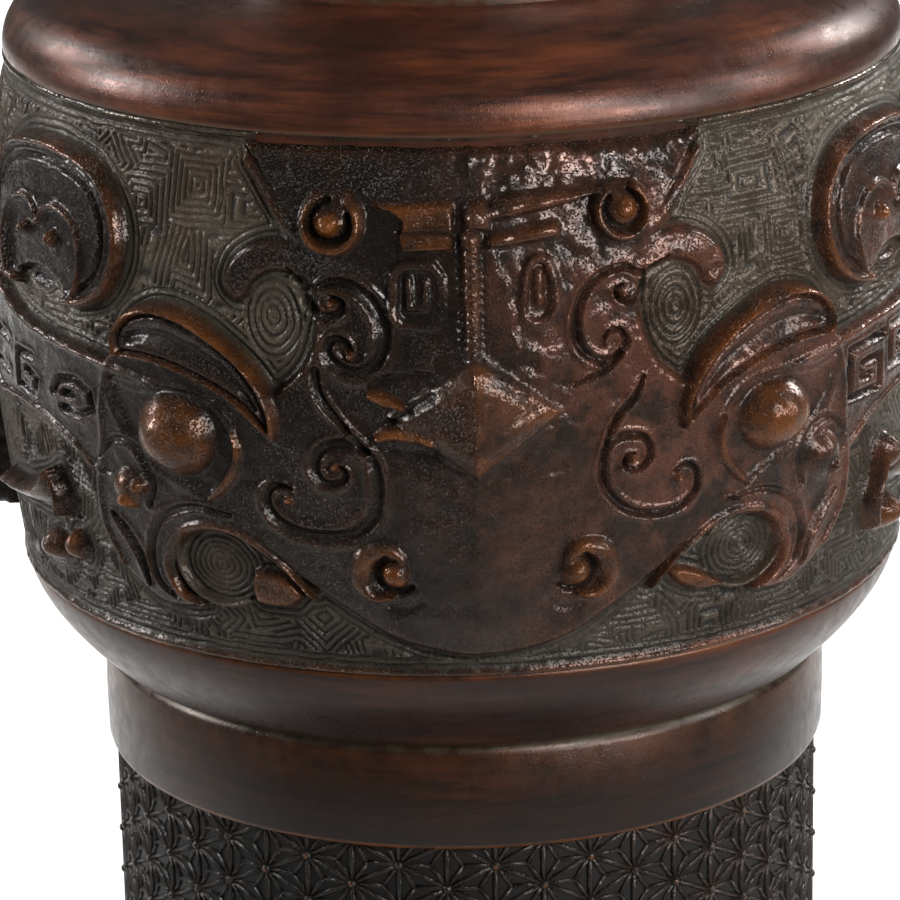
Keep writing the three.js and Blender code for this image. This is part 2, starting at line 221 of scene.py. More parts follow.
class VaseColours(bpy.types.PropertyGroup):
    """Colours of the patina, as sRGB hex values."""

    band_dark: bpy.props.StringProperty(
        name="Band, dark", description="Darkest brown of the polished bands", default="#37211a")
    # Painted shade: the polished bands darken to this colour low on the body, where less light falls.
    band_low_shade: bpy.props.StringProperty(
        name="Band, low", description="Thick dark film on the lowest polished bands", default="#120e0b")
    band_red: bpy.props.StringProperty(
        name="Band, red", description="Reddest brown of the polished bands", default="#84492f")
    # Painted shade: the left side of the relief takes mostly the first of these two browns and its right side
    # mostly the second; random patches mix them as well.
    plate: bpy.props.StringProperty(
        name="Mask", description="Brown of the raised forms", default="#1b150f")
    plate_red_and_lit: bpy.props.StringProperty(
        name="Mask, red", description="Redder brown in patches of the raised forms", default="#5f3a2a")
    ground: bpy.props.StringProperty(
        name="Ground", description="Grey brown between the raised forms", default="#6d6252")
    earth: bpy.props.StringProperty(
        name="Ground, brown", description="Browner patches between the raised forms", default="#5a4735")
    rubbed: bpy.props.StringProperty(
        name="Rubbed edge", description="Warm bronze that shows on rubbed edges", default="#7c440f")
    verdigris: bpy.props.StringProperty(
        name="Verdigris", description="Pale green in the crevices", default="#605b49")
    # Dark wax in the cut lines, used also as painted shade in the grooves, hollows and gaps.
    wax: bpy.props.StringProperty(
        name="Wax", description="Dark wax and soot in the cut lines", default="#0e0b09")
    inside: bpy.props.StringProperty(
        name="Inside", description="Raw casting inside", default="#241c17")


def linear(code):
    """The linear colour of an sRGB hex value."""
    parts = [int(code[i:i + 2], 16) / 255 for i in (1, 3, 5)]
    return [p / 12.92 if p <= 0.04045 else ((p + 0.055) / 1.055) ** 2.4 for p in parts] + [1.0]


def add_node(tree, kind, inputs=None, **settings):
    """Adds a node. Inputs go by socket name or number, to a value or to another node's socket."""
    node = tree.nodes.new(kind)
    for name, value in settings.items():
        setattr(node, name, value)
    for key, value in (inputs or {}).items():
        if isinstance(value, bpy.types.NodeSocket):
            tree.links.new(value, node.inputs[key])
        else:
            node.inputs[key].default_value = value
    return node


class Profile:
    """Heights and radii of the vase, in metres, from the sizes in the panel."""

    def __init__(self, sizes):
        self.sizes = sizes
        self.collar_bottom = sizes.foot_height
        self.collar_top = self.collar_bottom + sizes.collar_height
        self.band_bottom = self.collar_top + sizes.lower_band_height
        self.band_top = self.band_bottom + sizes.mask_band_height
        self.shoulder_top = self.band_top + sizes.shoulder_rise
        self.mouth = self.shoulder_top + sizes.neck_height
        self.collar_radius = sizes.stem_radius + sizes.collar_proud
        self.lip_radius = sizes.band_top_radius + sizes.lip_overhang
        self.foot_rim = 11 * MM
        self.foot_step = 2.5 * MM
        self.foot_flare_top = self.foot_rim + 95 * MM
        self.neck_bottom = self.shoulder_top + 3 * MM
        self.mouth_band = self.mouth - 11 * MM
        self.mouth_step = 1.5 * MM

    def mask_band(self, height):
        """Radius of the swelling middle."""
        s = self.sizes
        share = (height - self.band_bottom) / s.mask_band_height
        straight = s.band_bottom_radius + (s.band_top_radius - s.band_bottom_radius) * share
        lean = 1 + s.band_lean * (2 * share - 1)
        return straight + s.band_bulge * 4 * share * (1 - share) * lean

    def foot(self, height):
        """Radius of the spreading foot and the straight stem above it."""
        s = self.sizes
        share = min(max((height - self.foot_rim) / (self.foot_flare_top - self.foot_rim), 0), 1)
        return s.stem_radius + (s.foot_radius - self.foot_step - s.stem_radius) * (1 - share) ** FOOT_POWER

    def lower_band(self, height):
        """Radius of the hollow band between the collar and the mask."""
        s = self.sizes
        share = (height - self.collar_top) / s.lower_band_height
        return s.band_bottom_radius - (s.band_bottom_radius - self.collar_radius) * (1 - share) ** 1.6

    def neck(self, height):
        """Radius of the trumpet neck."""
        s = self.sizes
        share = max(height - self.neck_bottom, 0) / (self.mouth_band - self.neck_bottom)
        return s.neck_radius + (s.mouth_radius - self.mouth_step - s.neck_radius) * share ** NECK_POWER

    def shoulder(self, angle, edge_radius, edge_height, neck_radius, top_height):
        """A point of the shoulder, full at its edge and flatter towards the neck."""
        radius = neck_radius + (edge_radius - neck_radius) * max(math.cos(angle), 0) ** 0.6
        return radius, edge_height + (top_height - edge_height) * math.sin(angle)


def spread(low, high, steps, radius):
    """Rows from low to high, whose radius comes from a function of the height."""
    heights = [low + (high - low) * i / steps for i in range(steps + 1)]
    return [(radius(height), height) for height in heights]


def from_corner(radius, height, *moves):
    """Rows at moves in mm, outwards and up, from a radius and a height."""
    return [(radius + out * MM, height + up * MM) for out, up in moves]


def ring(height, radius, half, proud):
    """A small rounded fillet round a wall whose radius comes from a function of the height."""
    rows = []
    for i in range(9):
        angle = math.pi * i / 8
        at = height - half * math.cos(angle)
        rows.append((radius(at) + proud * math.sin(angle) ** 0.7, at))
    return rows


def fillet(name, radius):
    """A named ring of the wall."""
    height, half, proud = [value * MM for value in FILLETS[name]]
    return ring(height, radius, half, proud)


def outer_rows(p):
    """The outside from the ground up to the mouth."""
    s = p.sizes
    relief = RELIEF_RECESS * MM
    gap = 0.2 * MM
    foot_ring = fillet("foot", p.foot)
    neck_ring = fillet("neck_low", p.neck)
    high_ring = fillet("neck_high", p.neck)
    rows = from_corner(s.foot_radius, 0.0, (-0.5, 0), (0, 0.6))
    rows += from_corner(s.foot_radius, p.foot_rim - p.foot_step / 2, (0, -0.4), (-0.4, 0))
    rows += spread(p.foot_rim, foot_ring[0][1] - gap, 14, p.foot) + foot_ring
    rows += spread(foot_ring[-1][1] + gap, p.collar_bottom - 0.3 * MM, 36, p.foot)
    rows += from_corner(p.collar_radius, p.collar_bottom, (-0.9, 0), (-0.25, 0.3), (0, 1.1), (0.15, 9))
    rows += from_corner(p.collar_radius, p.collar_top, (0.05, -1.6), (-0.3, -0.5), (-0.75, 0), (-0.3, 0.5))
    rows += spread(p.collar_top + 1.2 * MM, p.band_bottom - 1.5 * MM, 12, p.lower_band)
    rows += from_corner(s.band_bottom_radius, p.band_bottom, (-0.1, -0.7), (-0.5, 0))
    rows += spread(p.band_bottom + gap, p.band_top - 2.0 * MM, 14, lambda z: p.mask_band(z) - relief)
    rows += from_corner(p.lip_radius, p.band_top, (-1.6, -1.25), (-0.25, -1.15), (0, -0.6))
    top = (p.lip_radius, p.band_top, s.neck_radius + 2 * MM, p.shoulder_top)
    rows += [p.shoulder(i / 24 * math.pi / 2, *top) for i in range(25)]
    rows += from_corner(s.neck_radius, p.shoulder_top, (0, 0.6), (0, 1.6)) + neck_ring
    rows += spread(neck_ring[-1][1] + gap, high_ring[0][1] - gap, 40, p.neck) + high_ring
    rows += spread(high_ring[-1][1] + gap, p.mouth_band, 44, p.neck)
    rows += from_corner(s.mouth_radius - p.mouth_step, p.mouth_band, (0, 1.5))
    rows += from_corner(s.mouth_radius, p.mouth, (0, -2.4), (0, -1.2), (-0.4, -0.3), (-1.2, 0))
    return rows


def inner_rows(p):
    """The inside from the mouth down to the floor, and then the hollow of the foot."""
    s = p.sizes
    edge = (s.band_top_radius - s.wall, p.band_top - s.wall, s.neck_radius - s.wall, p.shoulder_top - s.wall)
    down = from_corner(s.mouth_radius - s.wall, p.mouth, (0.4, 0), (-0.2, -0.5))
    down += spread(p.mouth_band, p.neck_bottom, 40, lambda z: p.neck(z) - s.wall)
    down += [p.shoulder(i / 8 * math.pi / 2, *edge) for i in range(8, -1, -1)]
    down += spread(p.band_top - s.wall - 1 * MM, p.band_bottom, 12, lambda z: p.mask_band(z) - s.wall)
    down += spread(p.band_bottom - 1 * MM, p.collar_top, 6, lambda z: p.lower_band(z) - s.wall)
    floor_top = p.collar_bottom + s.floor_thickness
    down += from_corner(s.stem_radius - s.wall, floor_top, (0, 2), (-2, 0)) + [(0, floor_top)]
    hollow = [(0, p.collar_bottom), (s.stem_radius - s.wall - 2 * MM, p.collar_bottom)]
    hollow += spread(p.collar_bottom - 2 * MM, p.foot_rim, 30, lambda z: p.foot(z) - s.wall)
    hollow += [(s.foot_radius - p.foot_step - s.wall, 0.0)]
    return down, hollow


def new_mesh(name, points, faces):
    """A mesh from an array of places in metres and a list of faces."""
    mesh = bpy.data.meshes.new(name)
    mesh.from_pydata([tuple(p) for p in points], [], faces)
    mesh.validate()
    return mesh


def add_piece(name, mesh, material, sharp=40.0):
    """Adds a finished piece that stands for the CAD part and rides with it."""
    obj = bpy.data.objects.new(name, mesh)
    bpy.context.scene.collection.objects.link(obj)
    mesh.name = name
    if material is not None:
        mesh.materials.clear()
        mesh.materials.append(material)
    mesh.shade_smooth()
    mesh.set_sharp_from_angle(angle=math.radians(sharp))
    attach(obj, BODY)
    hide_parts(NODE)
    return obj


def paint(mesh, rubbed, crevice, form, cut):
    """Keeps how rubbed, how green, how raised and how deeply cut each point is, for the patina. The cut also
    carries painted shade, which darkens hollows with the wax colour.
    """
    values = np.ones((len(mesh.vertices), 4), np.float32)
    values[:, 0] = rubbed
    values[:, 1] = crevice
    values[:, 2] = form
    values[:, 3] = cut
    layer = mesh.attributes.new("wear", "FLOAT_COLOR", "POINT")
    layer.data.foreach_set("color", values.ravel())


def places_of(mesh):
    """The places of the mesh's points, as an array."""
    values = np.empty(len(mesh.vertices) * 3, np.float32)
    mesh.vertices.foreach_get("co", values)
    return values.reshape(-1, 3)


def turned_mesh(name, rows, steps):
    """Turns rows of (radius, height) round the upright axis. A row of radius 0 closes to a pole."""
    points = []
    starts = []
    for radius, height in rows:
        starts.append(len(points))
        count = steps if radius > 0 else 1
        for i in range(count):
            angle = 2 * math.pi * i / steps
            points.append((radius * math.cos(angle), radius * math.sin(angle), height))
    faces = []
    for k in range(len(rows) - 1):
        a, b = starts[k], starts[k + 1]
        for i in range(steps):
            j = (i + 1) % steps
            if rows[k][0] == 0 and rows[k + 1][0] == 0:
                continue
            if rows[k][0] == 0:
                faces.append((a, b + j, b + i))
            elif rows[k + 1][0] == 0:
                faces.append((a + i, a + j, b))
            else:
                faces.append((a + i, a + j, b + j, b + i))
    return new_mesh(name, points, faces)


def close(value, at, reach):
    """1 at a height, falling to 0 at the reach on either side."""
    return np.clip(1 - np.abs(value - at) / reach, 0, 1)


class Relief:
    """A height field in mm over the flat sheet, drawn on with plates, bands, bosses and grooves."""

    def __init__(self, step, seed, keel):
        self.step = step
        self.keel = keel
        self.us = np.arange(keel - SEAM_OVERLAP, HALF_TURN + SEAM_OVERLAP + step, step)
        self.us[-1] = HALF_TURN + SEAM_OVERLAP
        self.vs = np.linspace(0, SHEET_TOP, int(round(SHEET_TOP / step)) + 1)
        self.u, self.v = np.meshgrid(self.us, self.vs)
        self.height = np.zeros_like(self.u)
        self.clear = np.full_like(self.u, FAR)
        self.rubbed = np.zeros_like(self.u)
        self.cut = np.zeros_like(self.u)
        self.random = np.random.default_rng(seed)

    def window(self, places, reach):
        """The part of the sheet within reach of some places."""
        low, high = places.min(0) - reach, places.max(0) + reach
        columns = np.searchsorted(self.us, [low[0], high[0]])
        rows = np.searchsorted(self.vs, [low[1], high[1]])
        return slice(rows[0], rows[1]), slice(columns[0], columns[1])

    def distance(self, places, reach):
        """Distance from a path of (u, v, half width), and the half width at its nearest point."""
        apart = np.full_like(self.u, FAR)
        half = np.zeros_like(self.u)
        for a, b in zip(places[:-1], places[1:]):
            part = self.window(np.array([a[:2], b[:2]]), reach)
            u, v = self.u[part], self.v[part]
            run = b[:2] - a[:2]
            length = max(run @ run, 1e-9)
            share = np.clip(((u - a[0]) * run[0] + (v - a[1]) * run[1]) / length, 0, 1)
            d = np.hypot(u - a[0] - share * run[0], v - a[1] - share * run[1])
            nearer = d < apart[part]
            apart[part] = np.where(nearer, d, apart[part])
            half[part] = np.where(nearer, a[2] + share * (b[2] - a[2]), half[part])
        return apart, half

    def from_edge(self, outline, reach):
        """Distance from a closed outline."""
        closed = np.vstack([outline, outline[:1]])
        return self.distance(np.c_[closed, np.zeros(len(closed))], reach)[0]

    def inside(self, outline):
        """True inside a closed outline."""
        found = np.zeros(self.u.shape, bool)
        part = self.window(outline, 0.1)
        u, v = self.u[part], self.v[part]
        for a, b in zip(outline, np.roll(outline, -1, 0)):
            if a[1] == b[1]:
                continue
            crosses = (a[1] > v) != (b[1] > v)
            found[part] ^= crosses & (u < (b[0] - a[0]) * (v - a[1]) / (b[1] - a[1]) + a[0])
        return found

    def raise_to(self, target, softness=SOFTNESS, rub=0.0):
        """The higher of two surfaces, with a soft fillet where they meet."""
        shown = np.clip((target - self.height) / 0.8, 0, 1)
        self.rubbed = self.rubbed * (1 - shown) + rub * shown
        self.cut *= 1 - shown
        gap = np.clip(softness - np.abs(self.height - target), 0, None)
        self.height = np.maximum(self.height, target) + gap ** 2 / (4 * softness)

    def plate(self, outline, rise, edge=1.3, rub=0.0):
        """A raised plate over a closed outline, with rounded edges."""
        outline = np.asarray(outline, float)
        apart = self.from_edge(outline, 5.0)
        within = self.inside(outline)
        deep = np.where(within, apart, -apart)
        shape = 1 - np.clip(1 - deep / edge, 0, 3) ** 2
        self.raise_to(rise * shape, rub=rub)
        self.clear = np.minimum(self.clear, np.where(within, 0, apart))

    def band(self, places, rise, fullness=2.0, base=0.0, curved=True, rub=0.0):
        """A raised round band along a path of (u, v, half width)."""
        places = smooth(places) if curved else np.asarray(places, float)
        apart, half = self.distance(places, 5.0)
        share = np.clip(apart / np.maximum(half, 0.05), 0, 2)
        softness = min(SOFTNESS, 0.5 * (rise - base))
        self.raise_to(base + (rise - base) * (1 - share ** fullness), softness, rub)
        self.clear = np.minimum(self.clear, np.clip(apart - half, 0, None))

    def boss(self, u, v, half_width, half_height, rise, fullness=2.2, base=0.0, rub=1.0):
        """A raised round boss."""
        share = np.hypot((self.u - u) / half_width, (self.v - v) / half_height)
        self.raise_to(base + (rise - base) * (1 - np.clip(share, 0, 2) ** fullness), rub=rub)
        self.clear = np.minimum(self.clear, np.clip((share - 1) * half_width, 0, None))

    def groove(self, places, depth, lip=0.0, curved=True):
        """A cut line along a path of (u, v, half width), with a thin raised lip on either side."""
        places = smooth(places) if curved else np.asarray(places, float)
        apart, half = self.distance(places, 4.0)
        half = np.maximum(half, 0.05)
        trench = np.exp(-(apart / half) ** 2 * 1.2)
        self.height -= depth * trench
        self.height += lip * np.exp(-((apart - 2.0 * half) / (0.7 * half)) ** 2)
        self.cut = np.maximum(self.cut, 0.45 * min(depth, 1.0) * trench)
        self.rubbed *= 1 - 0.8 * trench

    def sink(self, outline, depth, edge=0.8):
        """Lowers what is inside a closed outline."""
        outline = np.asarray(outline, float)
        apart = self.from_edge(outline, 3.0)
        deep = np.where(self.inside(outline), np.minimum(apart, 3.0), 0)
        share = np.clip(deep / edge, 0, 1)
        self.height -= depth * share * share * (3 - 2 * share)

    def ground(self, pitch, depth, ovals):
        """Fine lines cut in the ground: nested squares in blocks, and lines that follow a form."""
        u, v = self.u, self.v
        block = GROUND_BLOCK
        metric = np.full_like(u, 1e9)
        lines = np.zeros_like(u)
        for i in range(-1, int(HALF_TURN / block) + 2):
            for j in range(-1, int(SHEET_TOP / block) + 2):
                jitter = self.random.uniform(-0.33, 0.33, 2) * block
                centre_u = (i + 0.5 * (j % 2)) * block + jitter[0]
                centre_v = j * block + jitter[1]
                angle = math.radians(self.random.choice([0, 0, 90, 45, 15, -15]))
                stretch = self.random.choice([1.0, 1.0, 1.9, 3.2])
                du, dv = u - centre_u, v - centre_v
                across = np.abs(du * math.cos(angle) + dv * math.sin(angle))
                along = np.abs(-du * math.sin(angle) + dv * math.cos(angle))
                near = np.maximum(across, along)
                nested = np.maximum(across, along / stretch)
                closer = near < metric
                metric = np.where(closer, near, metric)
                lines = np.where(closer, nested, lines)
        left, right, low, high = LOOP_ZONE
        near_form = (self.clear < 2.2 * pitch) | ((u > left) & (u < right) & (v > low) & (v < high))
        lines = np.where(near_form, self.clear + 0.35 * pitch, lines)
        for centre_u, centre_v, half_width, half_height in ovals:
            share = np.hypot((u - centre_u) / half_width, (v - centre_v) / half_height)
            lines = np.where(share < 1, share * half_width, lines)
        wander = 0.35 * (value_noise(u / 3.5, v / 3.5, self.random) - 0.5)
        wave = (0.5 + 0.5 * np.cos(2 * math.pi * (lines / pitch + wander))) ** 1.3
        shown = np.clip(self.clear / 0.5, 0, 1)
        uneven = 0.7 + 0.6 * value_noise(u / 6, v / 6, self.random)
        self.height -= depth * shown * uneven * wave
        self.cut = np.maximum(self.cut, shown * uneven * wave)


def value_noise(x, y, random):
    """Smooth random values from 0 to 1 on a lattice of whole numbers."""
    x = x - x.min()
    y = y - y.min()
    grid = random.random((int(y.max()) + 3, int(x.max()) + 3))
    i, j = y.astype(int), x.astype(int)
    fy, fx = y - i, x - j
    fy, fx = fy * fy * (3 - 2 * fy), fx * fx * (3 - 2 * fx)
    low = grid[i, j] * (1 - fx) + grid[i, j + 1] * fx
    high = grid[i + 1, j] * (1 - fx) + grid[i + 1, j + 1] * fx
    return low * (1 - fy) + high * fy


def smooth(places, steps=7):
    """More places along a smooth curve through the given ones."""
    places = np.asarray(places, float)
    ends = np.vstack([2 * places[0] - places[1], places, 2 * places[-1] - places[-2]])
    found = []
    for a, b, c, d in zip(ends[:-3], ends[1:-2], ends[2:-1], ends[3:]):
        for t in np.arange(steps) / steps:
            found.append(0.5 * (2 * b + (c - a) * t + (2 * a - 5 * b + 4 * c - d) * t ** 2
                                + (3 * b - a - 3 * c + d) * t ** 3))
    found.append(places[-1])
    return np.array(found)


def joined(*stretches):
    """One outline from smooth stretches that meet at corners."""
    return np.vstack([smooth(part, 5) for part in stretches])


def blurred(values, size):
    """Mean over a square of about this many points, by running sums, twice for a soft edge."""
    for _ in range(2):
        for axis in (0, 1):
            pad = [(size + 1, size) if k == axis else (0, 0) for k in (0, 1)]
            sums = np.cumsum(np.pad(values, pad, mode="edge"), axis=axis)
            high = np.take(sums, range(2 * size + 1, sums.shape[axis]), axis=axis)
            low = np.take(sums, range(0, sums.shape[axis] - 2 * size - 1), axis=axis)
            values = (high - low) / (2 * size + 1)
    return values


# Outlines (u, v) and paths (u, v, half width) of the mask in mm: the right half, and where the left
# half differs.
FACE = [
    [(-3, 3.9), (4, 4.2), (10, 5.2), (17, 7.8), (25, 13), (32, 17.5), (39, 22.6), (47, 25.2),
     (54, 22.8), (57.2, 17.5), (55.8, 12.5), (52, 10.5)],
    [(52, 10.5), (55, 8.8), (62, 9), (70, 14), (74.3, 22), (74, 30), (72, 36), (71.5, 44), (69.5, 51),
     (66, 56)],
    [(66, 56), (60, 61), (47, 59), (39, 54.6), (35, 52.3)],
    [(35, 52.3), (31.3, 55.6), (28.8, 60), (27.5, 66), (28, 70), (30.5, 72.1), (35, 72.5), (38.6, 70.6),
     (39.5, 68.2)],
    [(39.5, 68.2), (42, 66.9), (44.6, 70), (43.2, 74.5), (38, 77.9), (30.5, 78.7)],
    [(30.5, 78.7), (36, 85.2), (41.5, 91.5), (42.3, 93.6)],
    [(42.3, 93.6), (20, 93.8), (-3, 93.8)],
]
HORN_OUTER = [(79, 60.6), (75, 61.3), (71.2, 62.8), (67.6, 66), (65.5, 71.5), (66, 77.5), (69, 82.5),
              (74, 86), (82, 87.8), (92, 88), (103, 86), (109, 80.5), (110.8, 73), (109, 66),
              (104.5, 62.3), (98, 61)]
HORN_INNER = [(98, 61), (95.5, 63.2), (91, 64.8), (86.5, 64.8), (82.5, 63), (79, 60.6)]
LOBES = [(77.3, 62), (75.8, 66), (75.6, 71), (78.3, 75.6), (83.2, 77.3), (87, 76.1), (88.7, 73.5),
         (90.3, 76.1), (94.4, 77.3), (99.2, 75.6), (101.8, 71), (101.6, 66), (100, 62)]
BODY_TOP = [(58, 51), (70, 52.4), (80, 53.4), (92, 54.5), (101, 57), (108, 61.5), (113, 67),
            (115.5, 73)]
BODY_END = [(115.5, 73), (118.5, 75), (122.5, 74), (125.6, 69), (125.4, 61), (121.5, 53), (114.5, 44.5),
            (106, 38.4)]
BODY_LOW = [(106, 38.4), (97, 39), (88, 38), (80, 35.4), (73.5, 31.6), (64, 30)]
BROW_TOP = [(34.8, 44.2), (35.5, 49.5), (39.8, 56.3), (48, 61.9), (56, 64), (62, 62.6), (65.4, 59.2),
            (65.6, 55)]
BROW_LOW = [(65.6, 55), (58, 55.2), (50, 53.7), (42, 50.3), (37.6, 46.6), (34.8, 44.2)]
EYE = [
    [(41.9, 40), (42.3, 43), (46, 48), (50.5, 49.7), (57, 49.9), (63, 49.3), (68.6, 50.3)],
    [(68.6, 50.3), (68.3, 47), (66.3, 42.6), (62.3, 38), (57, 35.3), (52, 33.2), (48, 31.2)],
    [(48, 31.2), (43.9, 36), (41.9, 40)],
]
LEAF = [(32.8, 17.2), (36, 17.4), (40.5, 15.6), (44.6, 13.2), (43.6, 11.9), (39, 12.2), (35.2, 14.2)]
LEAF_LEFT = [(31, 14.8), (34.4, 17.6), (37.2, 18.4), (41, 18.3), (41.2, 12.8), (38, 11.9), (34, 12)]
WORN_BARS_LEFT = [(3.4, 77), (13, 76.6), (13.8, 79.4), (13.2, 82), (15, 83.4), (19, 84.2), (19, 85.3),
                  (3.4, 85.8)]
NOSE_BARS_LEFT = [
    [(17, 45.4, 0.8), (14, 46.2, 1.5), (8.5, 45.2, 1.3)],
    [(18, 53, 0.8), (15.6, 52, 1.4), (13, 51.2, 0.9)],
]
SPIRAL_LEFT = [(14, 73.4, 1.1), (14.1, 66.6, 1.1), (12.6, 64.9, 1.1), (7.2, 64.8, 1.1),
               (5.9, 66.4, 1.1), (6, 73, 1.1), (7.6, 75, 1.1), (12.4, 75.1, 1.1), (14, 73.4, 1.1)]
SPIRAL_HEART_LEFT = [(11.5, 72.8, 0.8), (11.4, 68.1, 0.9), (8.8, 67.9, 0.9), (8.7, 72.4, 0.7)]
NOSE_SLAB = [(-7, 80), (3.6, 78), (3.8, 74.4), (5.6, 72.2), (5.4, 69), (6.6, 66.8), (6.2, 63.4),
             (7.4, 60.6), (5, 57), (-7, 59)]
SPIRAL = [(11.4, 75.2, 0.9), (12.6, 71, 1.1), (12.3, 66.6, 1.1), (9.8, 64.7, 1.1), (7.3, 66, 1.0),
          (7.3, 70, 0.9), (8.2, 74.4, 0.9), (9.8, 75.8, 0.9), (11.4, 75.2, 0.9)]
UPPER_SCROLL = [
    [(33, 73.8, 0.3), (30.5, 72.4, 0.55), (27.5, 71.6, 0.6), (24.5, 72.9, 0.65), (20.5, 72, 0.75),
     (17.2, 68.8, 0.85), (15.9, 64.4, 0.9), (16.5, 60.2, 0.85), (19, 57.6, 0.8), (22, 57.4, 0.75),
     (24.4, 59.8, 0.7), (23.6, 62.2, 0.6), (21.4, 62.2, 0.45), (20.6, 60.8, 0.3)],
    [(28.6, 71.9, 0.4), (28.1, 69, 0.7), (26, 67.2, 0.65), (23.6, 67.6, 0.55), (22.9, 69.2, 0.4),
     (24.2, 69.9, 0.3)],
    [(23.6, 58.2, 0.5), (21, 55.6, 0.6), (17.8, 54.4, 0.5), (15.4, 53.3, 0.2)],
]
UPPER_SCROLL_LEFT = [
    [(32, 73.5, 0.3), (30.2, 70.5, 0.6), (27.3, 70.6, 0.4), (24.5, 71.7, 0.65), (20.5, 71, 0.75),
     (17.2, 67.8, 0.85), (15.8, 63.6, 0.9), (16.6, 59.2, 0.85), (19.3, 56.6, 0.8), (22.8, 56.9, 0.75),
     (25.4, 59.6, 0.7), (24.4, 62, 0.6), (22.2, 61.7, 0.45), (21.3, 60.2, 0.3)],
    [(29.9, 69.6, 0.5), (28.6, 67.3, 0.7), (25.8, 65.8, 0.65), (23.2, 66.6, 0.55), (22.8, 68.6, 0.4),
     (24.6, 69.4, 0.3)],
    [(27.6, 56.4, 0.6), (26.9, 52.3, 0.6), (24.3, 48.6, 0.5), (21.8, 46, 0.3)],
]
LOWER_SCROLL = [
    [(27.6, 53.8, 0.3), (26, 50.4, 0.7), (23.1, 47.4, 0.7), (21.3, 43.6, 0.7), (20.3, 38.2, 0.85),
     (21.4, 33.6, 0.9), (25, 30, 0.85), (30, 28.6, 0.8), (34.8, 29.2, 0.75), (37.6, 32, 0.7),
     (37.5, 35.4, 0.65), (35.4, 36.8, 0.5), (33.4, 35.8, 0.3)],
    [(21.2, 42.2, 0.6), (24, 43.6, 0.8), (27.8, 42.7, 0.75), (28.8, 39.6, 0.7), (27, 37.3, 0.6),
     (24.5, 37.7, 0.5), (24.4, 39.8, 0.35), (26, 40.3, 0.25)],
]
LOWER_SCROLL_LEFT = [
    [(21.5, 45.4, 0.4), (18.4, 41.4, 0.7), (17.4, 36.4, 0.85), (18.2, 31, 0.9), (21.4, 27.6, 0.85),
     (26, 26.5, 0.8), (31.4, 26.9, 0.75), (35.6, 29.2, 0.7), (37.2, 32.7, 0.65), (35.4, 35.2, 0.5),
     (32.4, 35, 0.3)],
    [(19.2, 42.6, 0.5), (22.4, 43.6, 0.8), (26.6, 42.6, 0.75), (28.2, 39.2, 0.7), (26.5, 36.5, 0.6),
     (23.6, 36.7, 0.5), (22.8, 38.8, 0.35), (24.4, 39.8, 0.25)],
]
SCROLL_DOTS = [(24, 68.4, 0.9), (20.9, 60.2, 0.8), (25.4, 39.2, 1.0), (34, 34.4, 1.3)]
SCROLL_DOTS_LEFT = [(24.6, 68.2, 0.9), (21.4, 59.4, 1.3), (24.6, 39.6, 1.0), (33, 32.8, 1.2)]
FRETS = [
    [(84.2, 49.9), (72.8, 49.4), (72.8, 40.6), (82.8, 40.3), (82.8, 46.2), (76.6, 46), (76.6, 43.4),
     (79.8, 43.3)],
    [(95.4, 50.6), (86.8, 50.4), (86.8, 43), (94.6, 43.1), (94.6, 47.6), (90.2, 47.5), (90.2, 45.6)],
    [(98.4, 51.6), (98.4, 43.4), (106, 44.4), (106, 50.2), (101.6, 50)],
]
FRETS_LEFT = [
    [(84.5, 44), (82.5, 46.6), (78, 47.4), (74, 45.9), (73.4, 42.9), (77, 41.2), (82, 41.4)],
    [(78.6, 44.4), (81.4, 44.2)],
    [(91.4, 48.4), (97.4, 48.4), (97.6, 42), (91.6, 41.2), (90.4, 44.6), (94, 45.6)],
    [(101, 49.5), (107, 50.4), (107.6, 44.2), (102.4, 43.2)],
]


